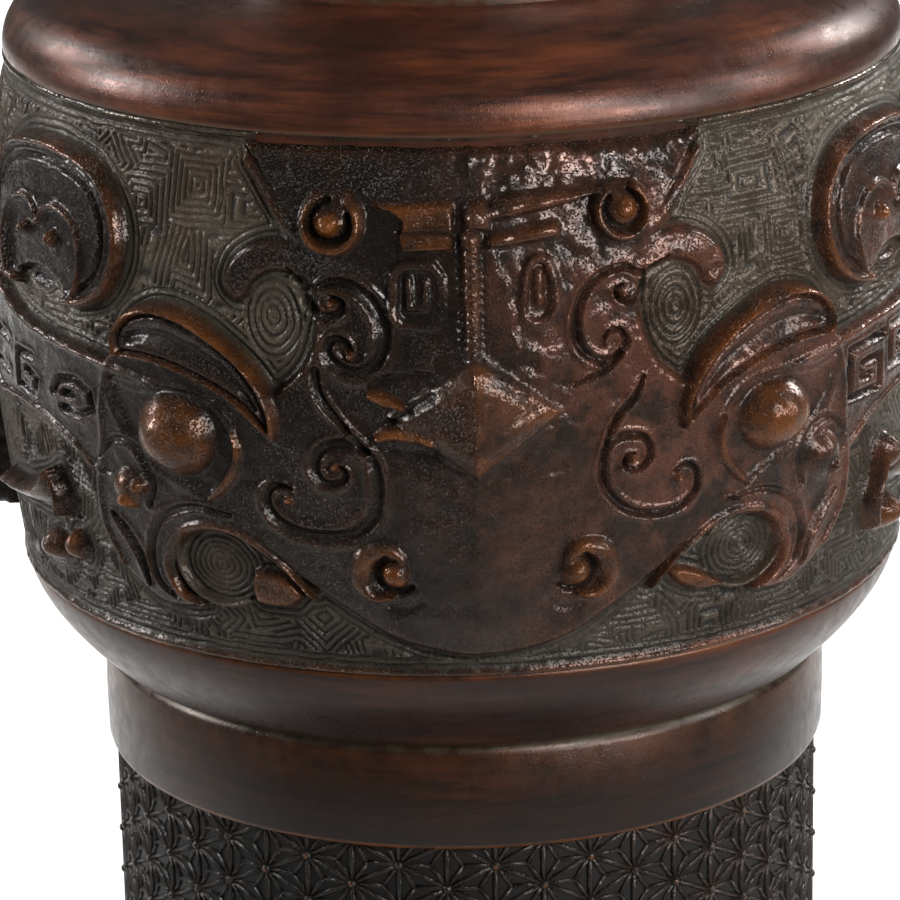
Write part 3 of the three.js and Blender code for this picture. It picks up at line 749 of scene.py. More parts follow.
def draw_face(relief, left):
    """The face plate, the centre line that stands forward, the nose and the bars over it."""
    relief.plate(joined(*FACE), PLATE_RISE, 1.5)
    keel = relief.keel
    off_keel = np.abs(relief.u - keel)
    forward = np.interp(relief.v, [4, 18, 36, 60, 84, 93], [8, 15, 19, 15, 9, 6])
    lift = KEEL_RISE * np.interp(relief.v, [3, 10, 36, 60, 80, 90], [0.3, 1, 1, 0.8, 0.25, 0])
    relief.height += lift * np.clip(1 - off_keel / forward, 0, 1) * (relief.clear <= 0)

    if left:
        relief.plate(WORN_BARS_LEFT, 3.3, 1.3, rub=0.5)
        relief.groove([(13.4, 80.4, 0.4), (8, 80.8, 0.35), (4, 80.4, 0.2)], 0.45, curved=False)
        for path in NOSE_BARS_LEFT:
            relief.band(path, 4.2, 2.2, base=2.2, rub=0.7)
        relief.groove([(8, 53.5, 0.8), (11.5, 50.8, 0.9), (15, 47.6, 0.8)], 1.0)
        relief.groove([(15.5, 43.2, 0.4), (12, 42.8, 0.8), (7.5, 42.2, 0.7)], 0.6)
        relief.groove([(17.6, 55, 0.4), (13, 56.3, 0.7), (8, 56.5, 0.5)], 0.6)
        relief.band(SPIRAL_LEFT, 3.0, 2.6, base=1.9, curved=False)
        relief.band(SPIRAL_HEART_LEFT, 2.9, 2.4, base=1.9, curved=False)
    else:
        relief.plate(NOSE_SLAB, 2.9, 0.8, rub=0.15)
        upper_bar = [(2.2, 83.6, 1.6), (5.5, 84.4, 2.0), (10, 84.8, 1.6), (16, 85.4, 1.1), (21, 86.2, 0.6)]
        relief.band(upper_bar, 3.7, 2.2, base=1.9, rub=0.12)
        relief.band([(2.4, 79.0, 1.5), (7, 79.5, 1.5), (12.6, 80.3, 1.4)], 3.5, 2.2, base=2.0, rub=0.2)
        relief.band(SPIRAL, 3.0, 2.4, base=1.9)
        relief.band([(9.8, 73.4, 0.95), (9.7, 70.4, 1.0), (9.9, 68.4, 0.95)], 2.9, 2.4, base=1.9)

    slant = np.where(relief.v > 49.3, (relief.v - 49.3) / 11.2, (49.3 - relief.v) / 11.0)
    point = 1 - slant - off_keel / 14.8
    cliff = np.clip(point * 11, 0, 1)
    roof = np.clip(1 - off_keel / 14.8, 0, 1) * np.clip(point / 0.35, 0, 1) ** 0.8
    relief.height += (point > 0) * (1.1 * cliff + NOSE_POINT * roof)
    relief.rubbed = np.maximum(relief.rubbed, (point > 0) * (0.15 if left else 0.35) * cliff)
    nose = 1.25 * keel
    relief.band([(nose, 57, 2.2), (nose, 79.6, 2.4)], PLATE_RISE + 3.2, 2.6, curved=False, rub=0.12)
    relief.plate([(-9, 79.6), (2.6, 79.8), (3.4, 83.4), (1.6, 86.4), (-9, 86)], 4.7, 2.6, rub=0.1)
    hatch = np.clip(2.6 - np.abs(relief.u - nose), 0, 1) * np.clip(9.6 - np.abs(relief.v - 69.8), 0, 1)
    slant_v = relief.v + 0.25 * relief.u + 0.5 * (value_noise(relief.u, relief.v / 2, relief.random) - 0.5)
    relief.height -= 0.5 * hatch * (0.5 + 0.5 * np.cos(2 * math.pi * slant_v / 1.45))


def draw_scrolls(relief, left):
    """The scrolls that end the forehead and the nostrils, and the ones cut in the cheeks."""
    curl_u, curl_v, size = (24.6, 81.9, 5.3) if left else (24.5, 82.6, 4.9)
    relief.band([(41, 90.4, 0.6), (36.2, 85.2, 1.1), (32.2, 80.8, 1.6), (28, 78.4, 2.0)], 2.2, base=1.4,
                rub=0.05)
    relief.boss(curl_u, curl_v, size, size, 3.7, 3.0, base=1.7, rub=0.15)
    relief.boss(curl_u + 0.3, curl_v + (0.1 if left else 0.6), 0.62 * size, 0.62 * size, 5.4, 2.2, rub=0.9)
    relief.band([(curl_u + 0.86 * size * math.cos(a), curl_v + 0.86 * size * math.sin(a), 0.22 * size)
                 for a in np.linspace(2.2, 7.2, 12)], 4.3, base=2.2, rub=0.35)
    angles = np.linspace(2.4, 7.4, 12) + (0.4 if left else 0)
    turn_places = [(curl_u + 0.3 + 0.64 * size * math.cos(a), curl_v + 0.2 + 0.64 * size * math.sin(a),
                    0.35 + 0.3 * math.sin(k)) for a, k in zip(angles, np.linspace(0.2, 3.0, 12))]
    relief.groove(turn_places, 1.5)

    knob_u, knob_v = (14.8, 20.4) if left else (15.7, 19.9)
    arc = [(4.6, -100, 0.6), (5.3, -60, 1.6), (5.2, -20, 2.4), (4.6, 30, 2.6), (4.2, 75, 2.4),
           (3.8, 120, 1.9), (3.0, 165, 1.3)]
    ring_places = [(knob_u + 1.4 + r * math.cos(math.radians(a)), knob_v + r * math.sin(math.radians(a)), w)
                   for r, a, w in arc]
    relief.band(ring_places, 3.5, base=1.2, rub=0.35)
    relief.boss(knob_u, knob_v - 0.2, 2.9, 2.8, 4.7, base=1.8, rub=0.8)
    under = [(1.6, 3.2, 0.4), (3.3, 0.6, 0.6), (2.3, -2.4, 0.7), (-0.6, -3.6, 0.6), (-2.8, -2.6, 0.4)]
    beside = [(-4.4, -5.2, 0.6), (-1.8, -7.0, 1.0), (1.6, -6.6, 0.5)]
    for path, depth in ((under, 1.1), (beside, 0.5)):
        relief.groove([(knob_u + u, knob_v + v, w) for u, v, w in path], depth)

    upper = UPPER_SCROLL_LEFT if left else UPPER_SCROLL
    lower = LOWER_SCROLL_LEFT if left else LOWER_SCROLL
    wider, depth, lip = (1.1, 0.85, 0.5) if left else (0.72, 1.15, 0.3)
    for path in upper + lower:
        relief.groove([(u, v, w * wider) for u, v, w in path], depth, lip)
    for u, v, r in SCROLL_DOTS_LEFT if left else SCROLL_DOTS:
        relief.boss(u, v, r, r, PLATE_RISE + 1.5, rub=0.6)


def draw_eye(relief, left):
    """The eye in its socket, with the brow over it, and the curl and boss of the cheek."""
    relief.sink(joined(*EYE), 0.7, 1.2)
    relief.groove([(u, v, 0.45) for u, v in EYE[0]], 0.3, 0.25)
    relief.groove([(u, v, 0.6) for u, v in EYE[1]], 0.2, 0.12)
    if left:
        relief.boss(54.2, 42.0, 8.8, 8.4, 7.4, 2.2, rub=0.65)
    else:
        relief.boss(53.9, 42.4, 8.6, 7.4, 6.8, 2.2, rub=0.7)
    relief.band([(42.6, 44.6, 0.5), (41.8, 41, 1.2), (42.8, 37, 1.7), (45.4, 33.4, 1.5), (48, 30.9, 0.4)],
                3.3, rub=0.4)

    relief.plate(joined(BROW_TOP, BROW_LOW), FEATURE_RISE - 0.2, 1.6)
    hollow = [(37.6, 49, 0.5), (41.5, 53.4, 1.0), (46, 56.4, 1.5), (52, 58.8, 1.8), (58, 59.7, 1.7),
              (62.8, 58.4, 1.0)]
    relief.groove(hollow, 1.2)
    relief.band([(u, v, 0.85) for u, v in BROW_TOP], FEATURE_RISE + 0.7, base=1.8, rub=0.45)
    relief.band([(u, v, 0.75) for u, v in BROW_LOW], FEATURE_RISE + 0.3, base=1.8, rub=0.25)
    cheek = [(66, 55.4, 0.8), (69.2, 51, 1.1), (71, 44, 1.2), (71.4, 36, 1.3), (73.2, 30, 1.3),
             (73.4, 22, 1.2), (69.4, 14.6, 0.8)]
    relief.band(cheek, 2.3, base=1.3)

    if left:
        relief.boss(65.4, 30.4, 5.0, 4.6, 4.2, rub=0.3)
        relief.boss(65.4, 28.2, 2.8, 2.5, 5.0)
        relief.boss(62.6, 31.2, 2.2, 2.2, 4.7, rub=0.5)
    else:
        relief.boss(66, 32, 5.8, 6.0, 4.3, rub=0.12)
        relief.boss(67.2, 30.1, 2.7, 2.6, 5.2, rub=0.8)
    relief.groove([(61, 27.8, 0.5), (60.2, 33, 0.7), (63.6, 38.1, 0.6), (68.5, 38.6, 0.5), (72, 34.6, 0.4)],
                  0.6, 0.2)
    relief.groove([(63.4, 12.2, 0.3), (64.6, 17, 0.8), (67.6, 21.4, 0.8), (70.6, 24.3, 0.4)], 1.0, 0.3)
    rim = [(30, 14.6, 0.4), (36, 20.9, 0.8), (43, 25.4, 1.2), (50, 25.9, 1.3), (56, 23, 1.4),
           (58.7, 17.5, 1.3), (57, 12, 1.0), (52.3, 10.2, 0.6)]
    relief.band(rim, 2.5, base=1.0, rub=0.3 if left else 0.12)
    round_rim = [(44, 28.6, 0.3), (52, 29.0, 0.5), (58.8, 25.8, 0.6), (61.8, 19.5, 0.6), (61, 13.6, 0.5),
                 (57.6, 10.8, 0.3)]
    relief.groove(round_rim, 0.7, 0.25)
    relief.plate(smooth(LEAF_LEFT if left else LEAF, 4), 2.1, 1.1, rub=0.35)


def draw_horn(relief, left):
    """The horn, a horseshoe round two lobes with a knob in each."""
    relief.plate(joined(HORN_OUTER, HORN_INNER), 2.0, 1.2)
    outer = np.array(HORN_OUTER, float)
    centre = np.array([88.5, 72.0])
    relief.band([(u, v, 1.2) for u, v in outer + (centre - outer) * 0.06], 3.1, base=0.8, rub=0.25)
    relief.groove([(u, v, 0.5) for u, v in (outer + (centre - outer) * 0.21)[1:-1]], 0.9, 0.15)
    relief.band([(u, v, 1.1) for u, v in LOBES], 2.9, base=0.8, rub=0.15)
    inner = smooth([(u, v) for u, v in LOBES], 4)
    relief.sink(inner + (centre - 2 - inner) * 0.06, 0.6)
    knobs = [(84.2, 71.4, 2.3), (93.6, 71.6, 1.8)] if left else [(84.2, 71.8, 2.4), (93.8, 71.8, 2.2)]
    for u, v, r in knobs:
        relief.boss(u, v, r, r, 3.6, rub=0.6)
    relief.boss(90, 62.8, 3.0, 1.6, 0.2, rub=0)
    relief.groove([(87.5, 62.8, 1.0), (92, 62.9, 1.0)], 1.0)


def draw_body(relief, left):
    """The body behind the eye, edged with ridges, with frets between them, and the claw below."""
    relief.plate(joined(BODY_TOP, BODY_END, BODY_LOW), PLATE_RISE - 0.1, 1.4)
    for path, aside, up in ((BODY_TOP, 0, -0.4), (BODY_END, -0.4, 0), (BODY_LOW, 0, 0.4)):
        relief.band([(u + aside, v + up, 1.1) for u, v in path], 2.3, base=0.8, rub=0.06)
    for path in FRETS_LEFT if left else FRETS:
        relief.groove([(u, v, 0.65) for u, v in path], 1.2, 0.2, curved=False)
    tail = [(111, 48, 0.5), (116, 55, 0.8), (119.6, 62, 0.9), (120.6, 67.5, 0.8), (118.6, 70.4, 0.6),
            (116.8, 68.4, 0.4)]
    relief.groove(tail, 1.0, 0.3)
    if left:
        relief.band([(112, 19.6, 2.2), (102, 20.6, 2.2), (94, 22.4, 3.0), (90.5, 25, 2.4),
                     (88.6, 27.6, 1.0)], 4.0, 1.5, rub=0.2)
        relief.band([(88.6, 27, 0.7), (86.9, 23.5, 1.0), (87.2, 19.6, 0.5)], 3.4, rub=0.3)
        relief.boss(92, 12.2, 4.4, 3.3, 4.2, rub=0.5)
        relief.boss(84.6, 14.2, 2.8, 3.2, 3.5, rub=0.5)
        relief.groove([(105, 25, 0.9), (104.2, 31, 1.2), (105.5, 37, 0.9)], 0.9)
    else:
        relief.boss(90.2, 25.6, 3.6, 4.0, 4.0, rub=0.3)
        relief.band([(87.2, 26.4, 0.8), (86.8, 21.5, 1.2), (85.4, 17.5, 1.6), (86.4, 13, 1.8)], 3.3, rub=0.25)
        relief.boss(94.4, 12.8, 4.2, 3.6, 4.2, rub=0.4)
        relief.band([(112, 18.8, 2.2), (102, 19.4, 2.2), (95.5, 21.8, 2.4), (91.6, 25.6, 1.4)], 3.4, 1.8,
                    rub=0.2)


def draw_relief(step, left, seed, sizes, keel):
    """The height field of one half of a mask."""
    relief = Relief(step, seed, keel)
    draw_body(relief, left)
    draw_horn(relief, left)
    draw_face(relief, left)
    draw_eye(relief, left)
    draw_scrolls(relief, left)
    relief.band([(-4, 94.75, 0.75), (140, 94.75, 0.75)], 0.9, 2.4, curved=False)
    relief.band([(-4, 0.35, 0.7), (140, 0.35, 0.7)], 0.5, 2.4, curved=False, rub=0.3)
    centre = (48, 18.2) if left else (49.2, 18.6)
    ovals = [(*centre, 9.0, 7.8), (35.5 if left else 34.5, 64.6, 5.6, 7.6)]
    form = np.clip(1 - relief.clear / 0.5, 0, 1)
    relief.ground(sizes.line_pitch / MM, sizes.line_depth / MM, ovals)
    relief.band([(centre[0] + 8.8 * math.cos(a), centre[1] + 7.4 * math.sin(a), 0.7)
                 for a in np.linspace(-2.2, 2.6, 14)], 1.4, 2.4)
    uneven, crinkle, fine = [value_noise(relief.u / size, relief.v / size, relief.random)
                             for size in (9, 2.4, 1.0)]
    forehead = np.clip((relief.v - 74) / 10, 0, 1) * np.clip((44 - relief.u) / 6, 0, 1)
    # The forehead rolls back a little towards the rim above it.
    rolled = np.clip((relief.v - 80) / 13.5, 0, 1) ** 1.3 * np.clip((43 - relief.u) / 3, 0, 1)
    relief.height -= 2.1 * form * rolled
    forehead = np.maximum(forehead, 0.8 * (np.abs(relief.u) < 15) * (np.abs(relief.v - 49) < 11))
    relief.height += 0.25 * (uneven - 0.5) + (0.18 + 0.34 * forehead) * form * (crinkle - 0.5)
    relief.height += (0.06 + 0.04 * form + 0.07 * forehead) * (fine - 0.5)
    return relief, form


def sheet_points(u, v, rise, profile, turn):
    """Places in metres of points of the flat sheet wrapped round the body."""
    height = profile.band_bottom + np.asarray(v) / SHEET_HEIGHT * profile.sizes.mask_band_height
    radius = profile.mask_band(height) + np.asarray(rise) * MM
    angle = np.asarray(u) / SHEET_RADIUS + turn
    return np.stack([radius * np.sin(angle), -radius * np.cos(angle), height], -1)


def sheet_mesh(name, relief, side, profile, turn):
    """A closed mesh: the relief in front, and a coarse back inside the wall."""
    rows, columns = relief.u.shape
    front = sheet_points(side * relief.u, relief.v, relief.height, profile, turn).reshape(-1, 3)
    row_at = np.round(np.linspace(0, rows - 1, BACK_ROWS + 1)).astype(int)
    column_at = np.round(np.linspace(0, columns - 1, BACK_COLUMNS + 1)).astype(int)
    back_u, back_v = np.meshgrid(relief.us[column_at], relief.vs[row_at])
    depth = np.full(back_u.shape, -SHEET_DEPTH)
    back = sheet_points(side * back_u, back_v, depth, profile, turn).reshape(-1, 3)
    index = np.arange(rows * columns).reshape(rows, columns)
    a, b, c, d = index[:-1, :-1], index[:-1, 1:], index[1:, 1:], index[1:, :-1]
    faces = np.stack([a, b, c, d], -1).reshape(-1, 4).tolist()
    behind = (rows * columns + np.arange(back_u.size)).reshape(back_u.shape)
    for j in range(BACK_ROWS):
        for i in range(BACK_COLUMNS):
            faces.append([behind[j, i], behind[j + 1, i], behind[j + 1, i + 1], behind[j, i + 1]])
    for j in range(BACK_ROWS):
        low, high = row_at[j], row_at[j + 1]
        faces.append([behind[j, 0], *index[low:high + 1, 0], behind[j + 1, 0]])
        faces.append([behind[j + 1, -1], *index[low:high + 1, -1][::-1], behind[j, -1]])
    for i in range(BACK_COLUMNS):
        low, high = column_at[i], column_at[i + 1]
        faces.append([behind[0, i + 1], *index[0, low:high + 1][::-1], behind[0, i]])
        faces.append([behind[-1, i], *index[-1, low:high + 1], behind[-1, i + 1]])
    faces = [[int(k) for k in face] for face in faces]
    if side < 0:
        faces = [face[::-1] for face in faces]
    return new_mesh(name, np.vstack([front, back]), faces)


def thinned(mesh, triangles):
    """The mesh with fewer triangles, where its surface needs the fewest."""
    mesh.calc_loop_triangles()
    ratio = triangles / len(mesh.loop_triangles)
    obj = bpy.data.objects.new("thinning", mesh)
    bpy.context.scene.collection.objects.link(obj)
    modifier = obj.modifiers.new("Thin", "DECIMATE")
    modifier.ratio = min(ratio, 1.0)
    found = bpy.data.meshes.new_from_object(obj.evaluated_get(bpy.context.evaluated_depsgraph_get()))
    bpy.data.objects.remove(obj)
    return found


def sampled(values, relief, u, v):
    """Values of a grid over the sheet, between its points."""
    column = np.clip(np.interp(u, relief.us, np.arange(len(relief.us))), 0, len(relief.us) - 1.001)
    row = np.clip(v / relief.vs[-1] * (len(relief.vs) - 1), 0, len(relief.vs) - 1.001)
    i, j = row.astype(int), column.astype(int)
    fi, fj = row - i, column - j
    low = values[i, j] * (1 - fj) + values[i, j + 1] * fj
    high = values[i + 1, j] * (1 - fj) + values[i + 1, j + 1] * fj
    return low * (1 - fi) + high * fi


def half_mask(name, side, back, material, sizes):
    """One half of a mask as a piece of its own, with the wear that its patina follows."""
    profile = Profile(sizes)
    step = BACK_STEP if back else FRONT_STEP
    keel = 0.0 if back else side * KEEL_PLACE
    relief, form = draw_relief(step, side < 0 and not back, 7 + side + 4 * back, sizes, keel)
    turn = math.pi if back else 0.0
    mesh = sheet_mesh(name, relief, side, profile, turn)
    mesh = thinned(mesh, BACK_TRIANGLES if back else FRONT_TRIANGLES)
    near = relief.height - blurred(relief.height, max(int(1.0 / step), 1))
    wide = relief.height - blurred(relief.height, int(3.0 / step))
    rubbed = 0.26 * np.clip(near / 0.7, 0, 1) * form * (1 - relief.cut)
    rubbed += relief.rubbed * np.clip(0.6 + near / 0.6, 0.25, 1)
    crevice = np.clip(-near / 0.6, 0, 1) * 0.35 + np.clip(-wide / 1.6, 0, 1) * 0.25
    crevice *= 1 - 0.75 * form
    crevice += 0.9 * close(relief.v, 94.75, 1.1) + 0.5 * close(relief.v, 0.1, 0.8)
    # Painted shade: hollows that lie lower than the surface round them are added to the cut lines, so they
    # take the dark wax colour.
    cut = relief.cut + np.clip(-near / 0.5, 0, 1) * 0.35
    rubbed, crevice, cut = [blurred(grid, 1) for grid in (rubbed, crevice, cut)]
    places = places_of(mesh)
    u = (np.arctan2(places[:, 0], -places[:, 1]) - turn + math.pi) % (2 * math.pi) - math.pi
    u = side * u * SHEET_RADIUS
    v = (places[:, 2] - profile.band_bottom) / sizes.mask_band_height * SHEET_HEIGHT
    grids = [np.clip(grid, 0, 1) for grid in (rubbed, crevice, form, cut)]
    paint(mesh, *[sampled(grid, relief, u, v) for grid in grids])
    add_piece(name, mesh, material, 60.0)


def bare_material(name):
    """A new material with nothing in its tree but the places of the points."""
    material = bpy.data.materials.new(name)
    material.use_nodes = True
    tree = material.node_tree
    tree.nodes.clear()
    return material, tree, add_node(tree, "ShaderNodeTexCoord").outputs["Object"]


def patina(name, colours, polished):
    """Cast bronze under a brown patina that was waxed and rubbed.

    The oxide film is darker than the metal and only partly metallic. Rubbed edges show warmer
    bronze, and verdigris and wax gather in the crevices. Painted shade darkens the low parts of
    the body, the left side and, with the wax colour, the hollows.
    """
    material, tree, place = bare_material(name)
    wear = add_node(tree, "ShaderNodeAttribute", attribute_name="wear")
    parts = add_node(tree, "ShaderNodeSeparateColor", {0: wear.outputs["Color"]})
    rubbed, crevice, form = parts.outputs[0], parts.outputs[1], parts.outputs[2]
    cut = wear.outputs["Alpha"]

    # Patches of redder patina are about 40 mm across, blots where the film is worn 6 mm, the
    # mottling 3 mm and the casting grain 0.3 mm.
    noise = {}
    for label, (scale, detail, roughness) in NOISES.items():
        inputs = {"Vector": place, "Scale": scale, "Detail": detail, "Roughness": roughness}
        noise[label] = add_node(tree, "ShaderNodeTexNoise", inputs).outputs[0]
    patches, mottle, grain, blots = [noise[label] for label in ("patches", "mottle", "grain", "blots")]
    red = add_node(tree, "ShaderNodeMapRange", {0: patches, 1: 0.4, 2: 0.62},
                   interpolation_type="SMOOTHSTEP").outputs[0]
    across = add_node(tree, "ShaderNodeSeparateXYZ", {0: place})
    # Painted shade: the colour darkens low on the body, where less light falls from above.
    high = add_node(tree, "ShaderNodeMapRange", {
        0: across.outputs[2], 1: 0.14, 2: 0.25, 3: 0.03, 4: 1.0}).outputs[0]
    if polished:
        # Polishing went round the body, so its streaks are about 1.5 mm high and 20 mm long.
        flat = add_node(tree, "ShaderNodeMapping", {"Vector": place, "Scale": STREAK_SCALE})
        streaks = add_node(tree, "ShaderNodeTexNoise", {
            "Vector": flat.outputs[0], "Scale": 1.0, "Detail": 5.0, "Roughness": 0.62})
        ranges = ({0: streaks.outputs[0], 1: 0.36, 2: 0.7}, {0: red, 3: 0.3, 4: 1.0})
    else:
        # Painted shade: everything on the left, as the front is seen, is painted much darker than the right,
        # and the colour darkens again towards the far right edge. Redder patches and worn blots vary it at
        # random.
        ranges = ({0: across.outputs[0], 1: -0.012, 2: 0.02, 3: 0.1, 4: 1.0},
                  {0: across.outputs[0], 1: 0.05, 2: 0.085, 3: 1.0, 4: 0.35},
                  {0: red, 3: 0.35, 4: 1.0},
                  {0: blots, 1: 0.38, 2: 0.62, 3: 0.2, 4: 1.7})
    tone_and_side_shade = 1.0
    for inputs in ranges:
        factor = add_node(tree, "ShaderNodeMapRange", inputs).outputs[0]
        tone_and_side_shade = add_node(tree, "ShaderNodeMath", {0: factor, 1: tone_and_side_shade}, operation="MULTIPLY",
                        use_clamp=True).outputs[0]
    blotted = add_node(tree, "ShaderNodeMapRange", {0: blots, 1: 0.36, 2: 0.62, 3: 0.25, 4: 1.3}).outputs[0]
    edge = add_node(tree, "ShaderNodeMath", {0: rubbed, 1: blotted}, operation="MULTIPLY", use_clamp=True)
    green = add_node(tree, "ShaderNodeMath", {0: crevice, 1: mottle}, operation="MULTIPLY").outputs[0]
    green = add_node(tree, "ShaderNodeMapRange", {0: green, 1: 0.1, 2: 0.8})
    # The wax colour goes into the cut lines as dark wax, and also as painted shade in hollows and gaps.
    wax = add_node(tree, "ShaderNodeMath", {0: cut, 1: WAX_AND_SHADE_SHARE}, operation="MULTIPLY", use_clamp=True)

    # Each row mixes two colours, or mixes made before it, into one with the row's name.
    # Painted shade: mixed by the height, the bands darken to their low shaded colour and the ground to the
    # plate's dark brown.
    if polished:
        rows = [("brown", tone_and_side_shade, colours.band_dark, colours.band_red),
                ("film", high, colours.band_low_shade, "brown")]
    else:
        rows = [("plate", tone_and_side_shade, colours.plate, colours.plate_red_and_lit),
                ("earth", red, colours.ground, colours.earth),
                ("ground_low_shade", high, colours.plate, "earth"),
                ("film", form, "ground_low_shade", "plate")]
    rows += [("film", edge.outputs[0], "film", colours.rubbed),
             ("film", green.outputs[0], "film", colours.verdigris),
             ("film", wax.outputs[0], "film", colours.wax)]
    made = {}
    for label, share, low, top in rows:
        low, top = [made[end] if end in made else linear(end) for end in (low, top)]
        mixed = add_node(tree, "ShaderNodeMix", {0: share, 6: low, 7: top}, data_type="RGBA")
        made[label] = mixed.outputs[2]

    rough_low, rough_high = (0.25, 0.4) if polished else (0.19, 0.34)
    rough = add_node(tree, "ShaderNodeMapRange", {0: mottle, 1: 0.3, 2: 0.7, 3: rough_low, 4: rough_high})
    if not polished:
        # The forehead was touched most, and shines most.
        gloss = add_node(tree, "ShaderNodeMapRange", {
            0: across.outputs[2], 1: 0.232, 2: 0.25, 3: 1.0, 4: 0.72})
        rough = add_node(tree, "ShaderNodeMath", {
            0: rough.outputs[0], 1: gloss.outputs[0]}, operation="MULTIPLY")
    dull = add_node(tree, "ShaderNodeMath", {0: cut, 1: 0.25, 2: rough.outputs[0]}, operation="MULTIPLY_ADD")
    if not polished:
        # Dust in the ground takes its shine.
        dusted = add_node(tree, "ShaderNodeMapRange", {0: form, 3: 0.16, 4: 0.0})
        dull = add_node(tree, "ShaderNodeMath", {0: dull.outputs[0], 1: dusted.outputs[0]}, operation="ADD")
    # Only the highest grains stand up through the wax, and glint one by one.
    grit = add_node(tree, "ShaderNodeMapRange", {0: grain, 1: 0.54, 2: 0.72})
    grit_share, strength, distance, coat = (0.3, 0.3, 0.0002, 0.1) if polished else (0.45, 0.8, 0.0007, 0.25)
    skin = add_node(tree, "ShaderNodeMix", {0: grit_share, 2: mottle, 3: grit.outputs[0]})
    bump = add_node(tree, "ShaderNodeBump", {
        "Height": skin.outputs[0], "Strength": strength, "Distance": distance}).outputs[0]
    shader = add_node(tree, "ShaderNodeBsdfPrincipled", {
        "Base Color": made["film"], "Metallic": 0.35, "Roughness": dull.outputs[0], "Normal": bump,
        "Coat Weight": coat, "Coat Roughness": 0.24, "Coat Normal": bump})
    add_node(tree, "ShaderNodeOutputMaterial", {0: shader.outputs[0]})
    return material


def raw_casting(name, colours):
    """Bronze as cast inside, never polished, under soot and dust: dark and matt."""
    material, tree, place = bare_material(name)
    # Sandy skin of the casting, with lumps of about 4 mm and grains of 0.5 mm.
    lumps = add_node(tree, "ShaderNodeTexNoise", {
        "Vector": place, "Scale": 250.0, "Detail": 6.0, "Roughness": 0.65}).outputs[0]
    colour = add_node(tree, "ShaderNodeMix", {
        0: lumps, 6: linear(colours.inside), 7: linear(colours.verdigris)}, data_type="RGBA")
    shade = add_node(tree, "ShaderNodeMix", {
        0: 0.75, 6: colour.outputs[2], 7: linear(colours.inside)}, data_type="RGBA")
    bump = add_node(tree, "ShaderNodeBump", {"Height": lumps, "Strength": 0.6, "Distance": 0.0006})
    shader = add_node(tree, "ShaderNodeBsdfPrincipled", {
        "Base Color": shade.outputs[2], "Metallic": 0.3, "Roughness": 0.62, "Normal": bump.outputs[0]})
    add_node(tree, "ShaderNodeOutputMaterial", {0: shader.outputs[0]})
    return material


def material_named(name, make, *settings):
    """The named material, made once."""
    return bpy.data.materials.get(name) or make(name, *settings)


def polished_bronze(context):
    """The patina of the plain bands."""
    return material_named("cast_bronze_brown_patina_polished", patina, context.scene.gu_vase_colours, True)


def relief_bronze(context):
    """The patina of the masks, the flanges and the lattice."""
    return material_named("cast_bronze_brown_patina_relief", patina, context.scene.gu_vase_colours, False)


def raw_bronze(context):
    """The skin of the inside."""
    return material_named("cast_bronze_raw_inside", raw_casting, context.scene.gu_vase_colours)


class GUVASE_OT_vessel(bpy.types.Operator):
    """Turns the hollow vessel with its foot, collar, bands, shoulder, neck and mouth"""

    bl_idname = "gu_vase.vessel"
    bl_label = "Vessel body"

    def execute(self, context):
        profile = Profile(context.scene.gu_vase_sizes)
        outer = outer_rows(profile)
        down, hollow = inner_rows(profile)
        rows = hollow + outer + down
        mesh = turned_mesh("vessel_body", rows, TURN_STEPS)
        work = bmesh.new()
        work.from_mesh(mesh)
        bmesh.ops.recalc_face_normals(work, faces=work.faces)
        work.to_mesh(mesh)
        work.free()
        add_piece("vessel_body", mesh, polished_bronze(context), 50.0)
        mesh.materials.append(raw_bronze(context))
        hollow_faces = TURN_STEPS * (len(hollow) - 1)
        outer_end = hollow_faces + TURN_STEPS * (len(outer) + 1)
        inside = np.zeros(len(mesh.polygons), np.int32)
        inside[:hollow_faces] = 1
        inside[outer_end:] = 1
        mesh.polygons.foreach_set("material_index", inside)
        height = places_of(mesh)[:, 2] / MM
        rubbed, crevice = [sum(strength * close(height, at, reach) for at, reach, strength in rings)
                           for rings in (RUBBED_RINGS, CREVICE_RINGS)]
        lattice = np.any([(height > low) & (height < high) for low, high in LATTICE_ZONES], axis=0)
        # The wall between the lattice's stars takes the dark wax colour, as wax and as painted shade between
        # the rays.
        paint(mesh, np.clip(rubbed, 0, 1), np.clip(crevice, 0, 1), 1.0 - lattice, 1.0 * lattice)
        return {"FINISHED"}


class GUVASE_OT_masks(bpy.types.Operator):
    """Casts the two mask reliefs, each as two halves that meet on its centre line"""

    bl_idname = "gu_vase.masks"
    bl_label = "Mask reliefs"

    def execute(self, context):
        sizes = context.scene.gu_vase_sizes
        for name, side, back in (("mask_front_right", 1, False), ("mask_front_left", -1, False),
                                 ("mask_back_right", 1, True), ("mask_back_left", -1, True)):
            half_mask(name, side, back, relief_bronze(context), sizes)
        return {"FINISHED"}


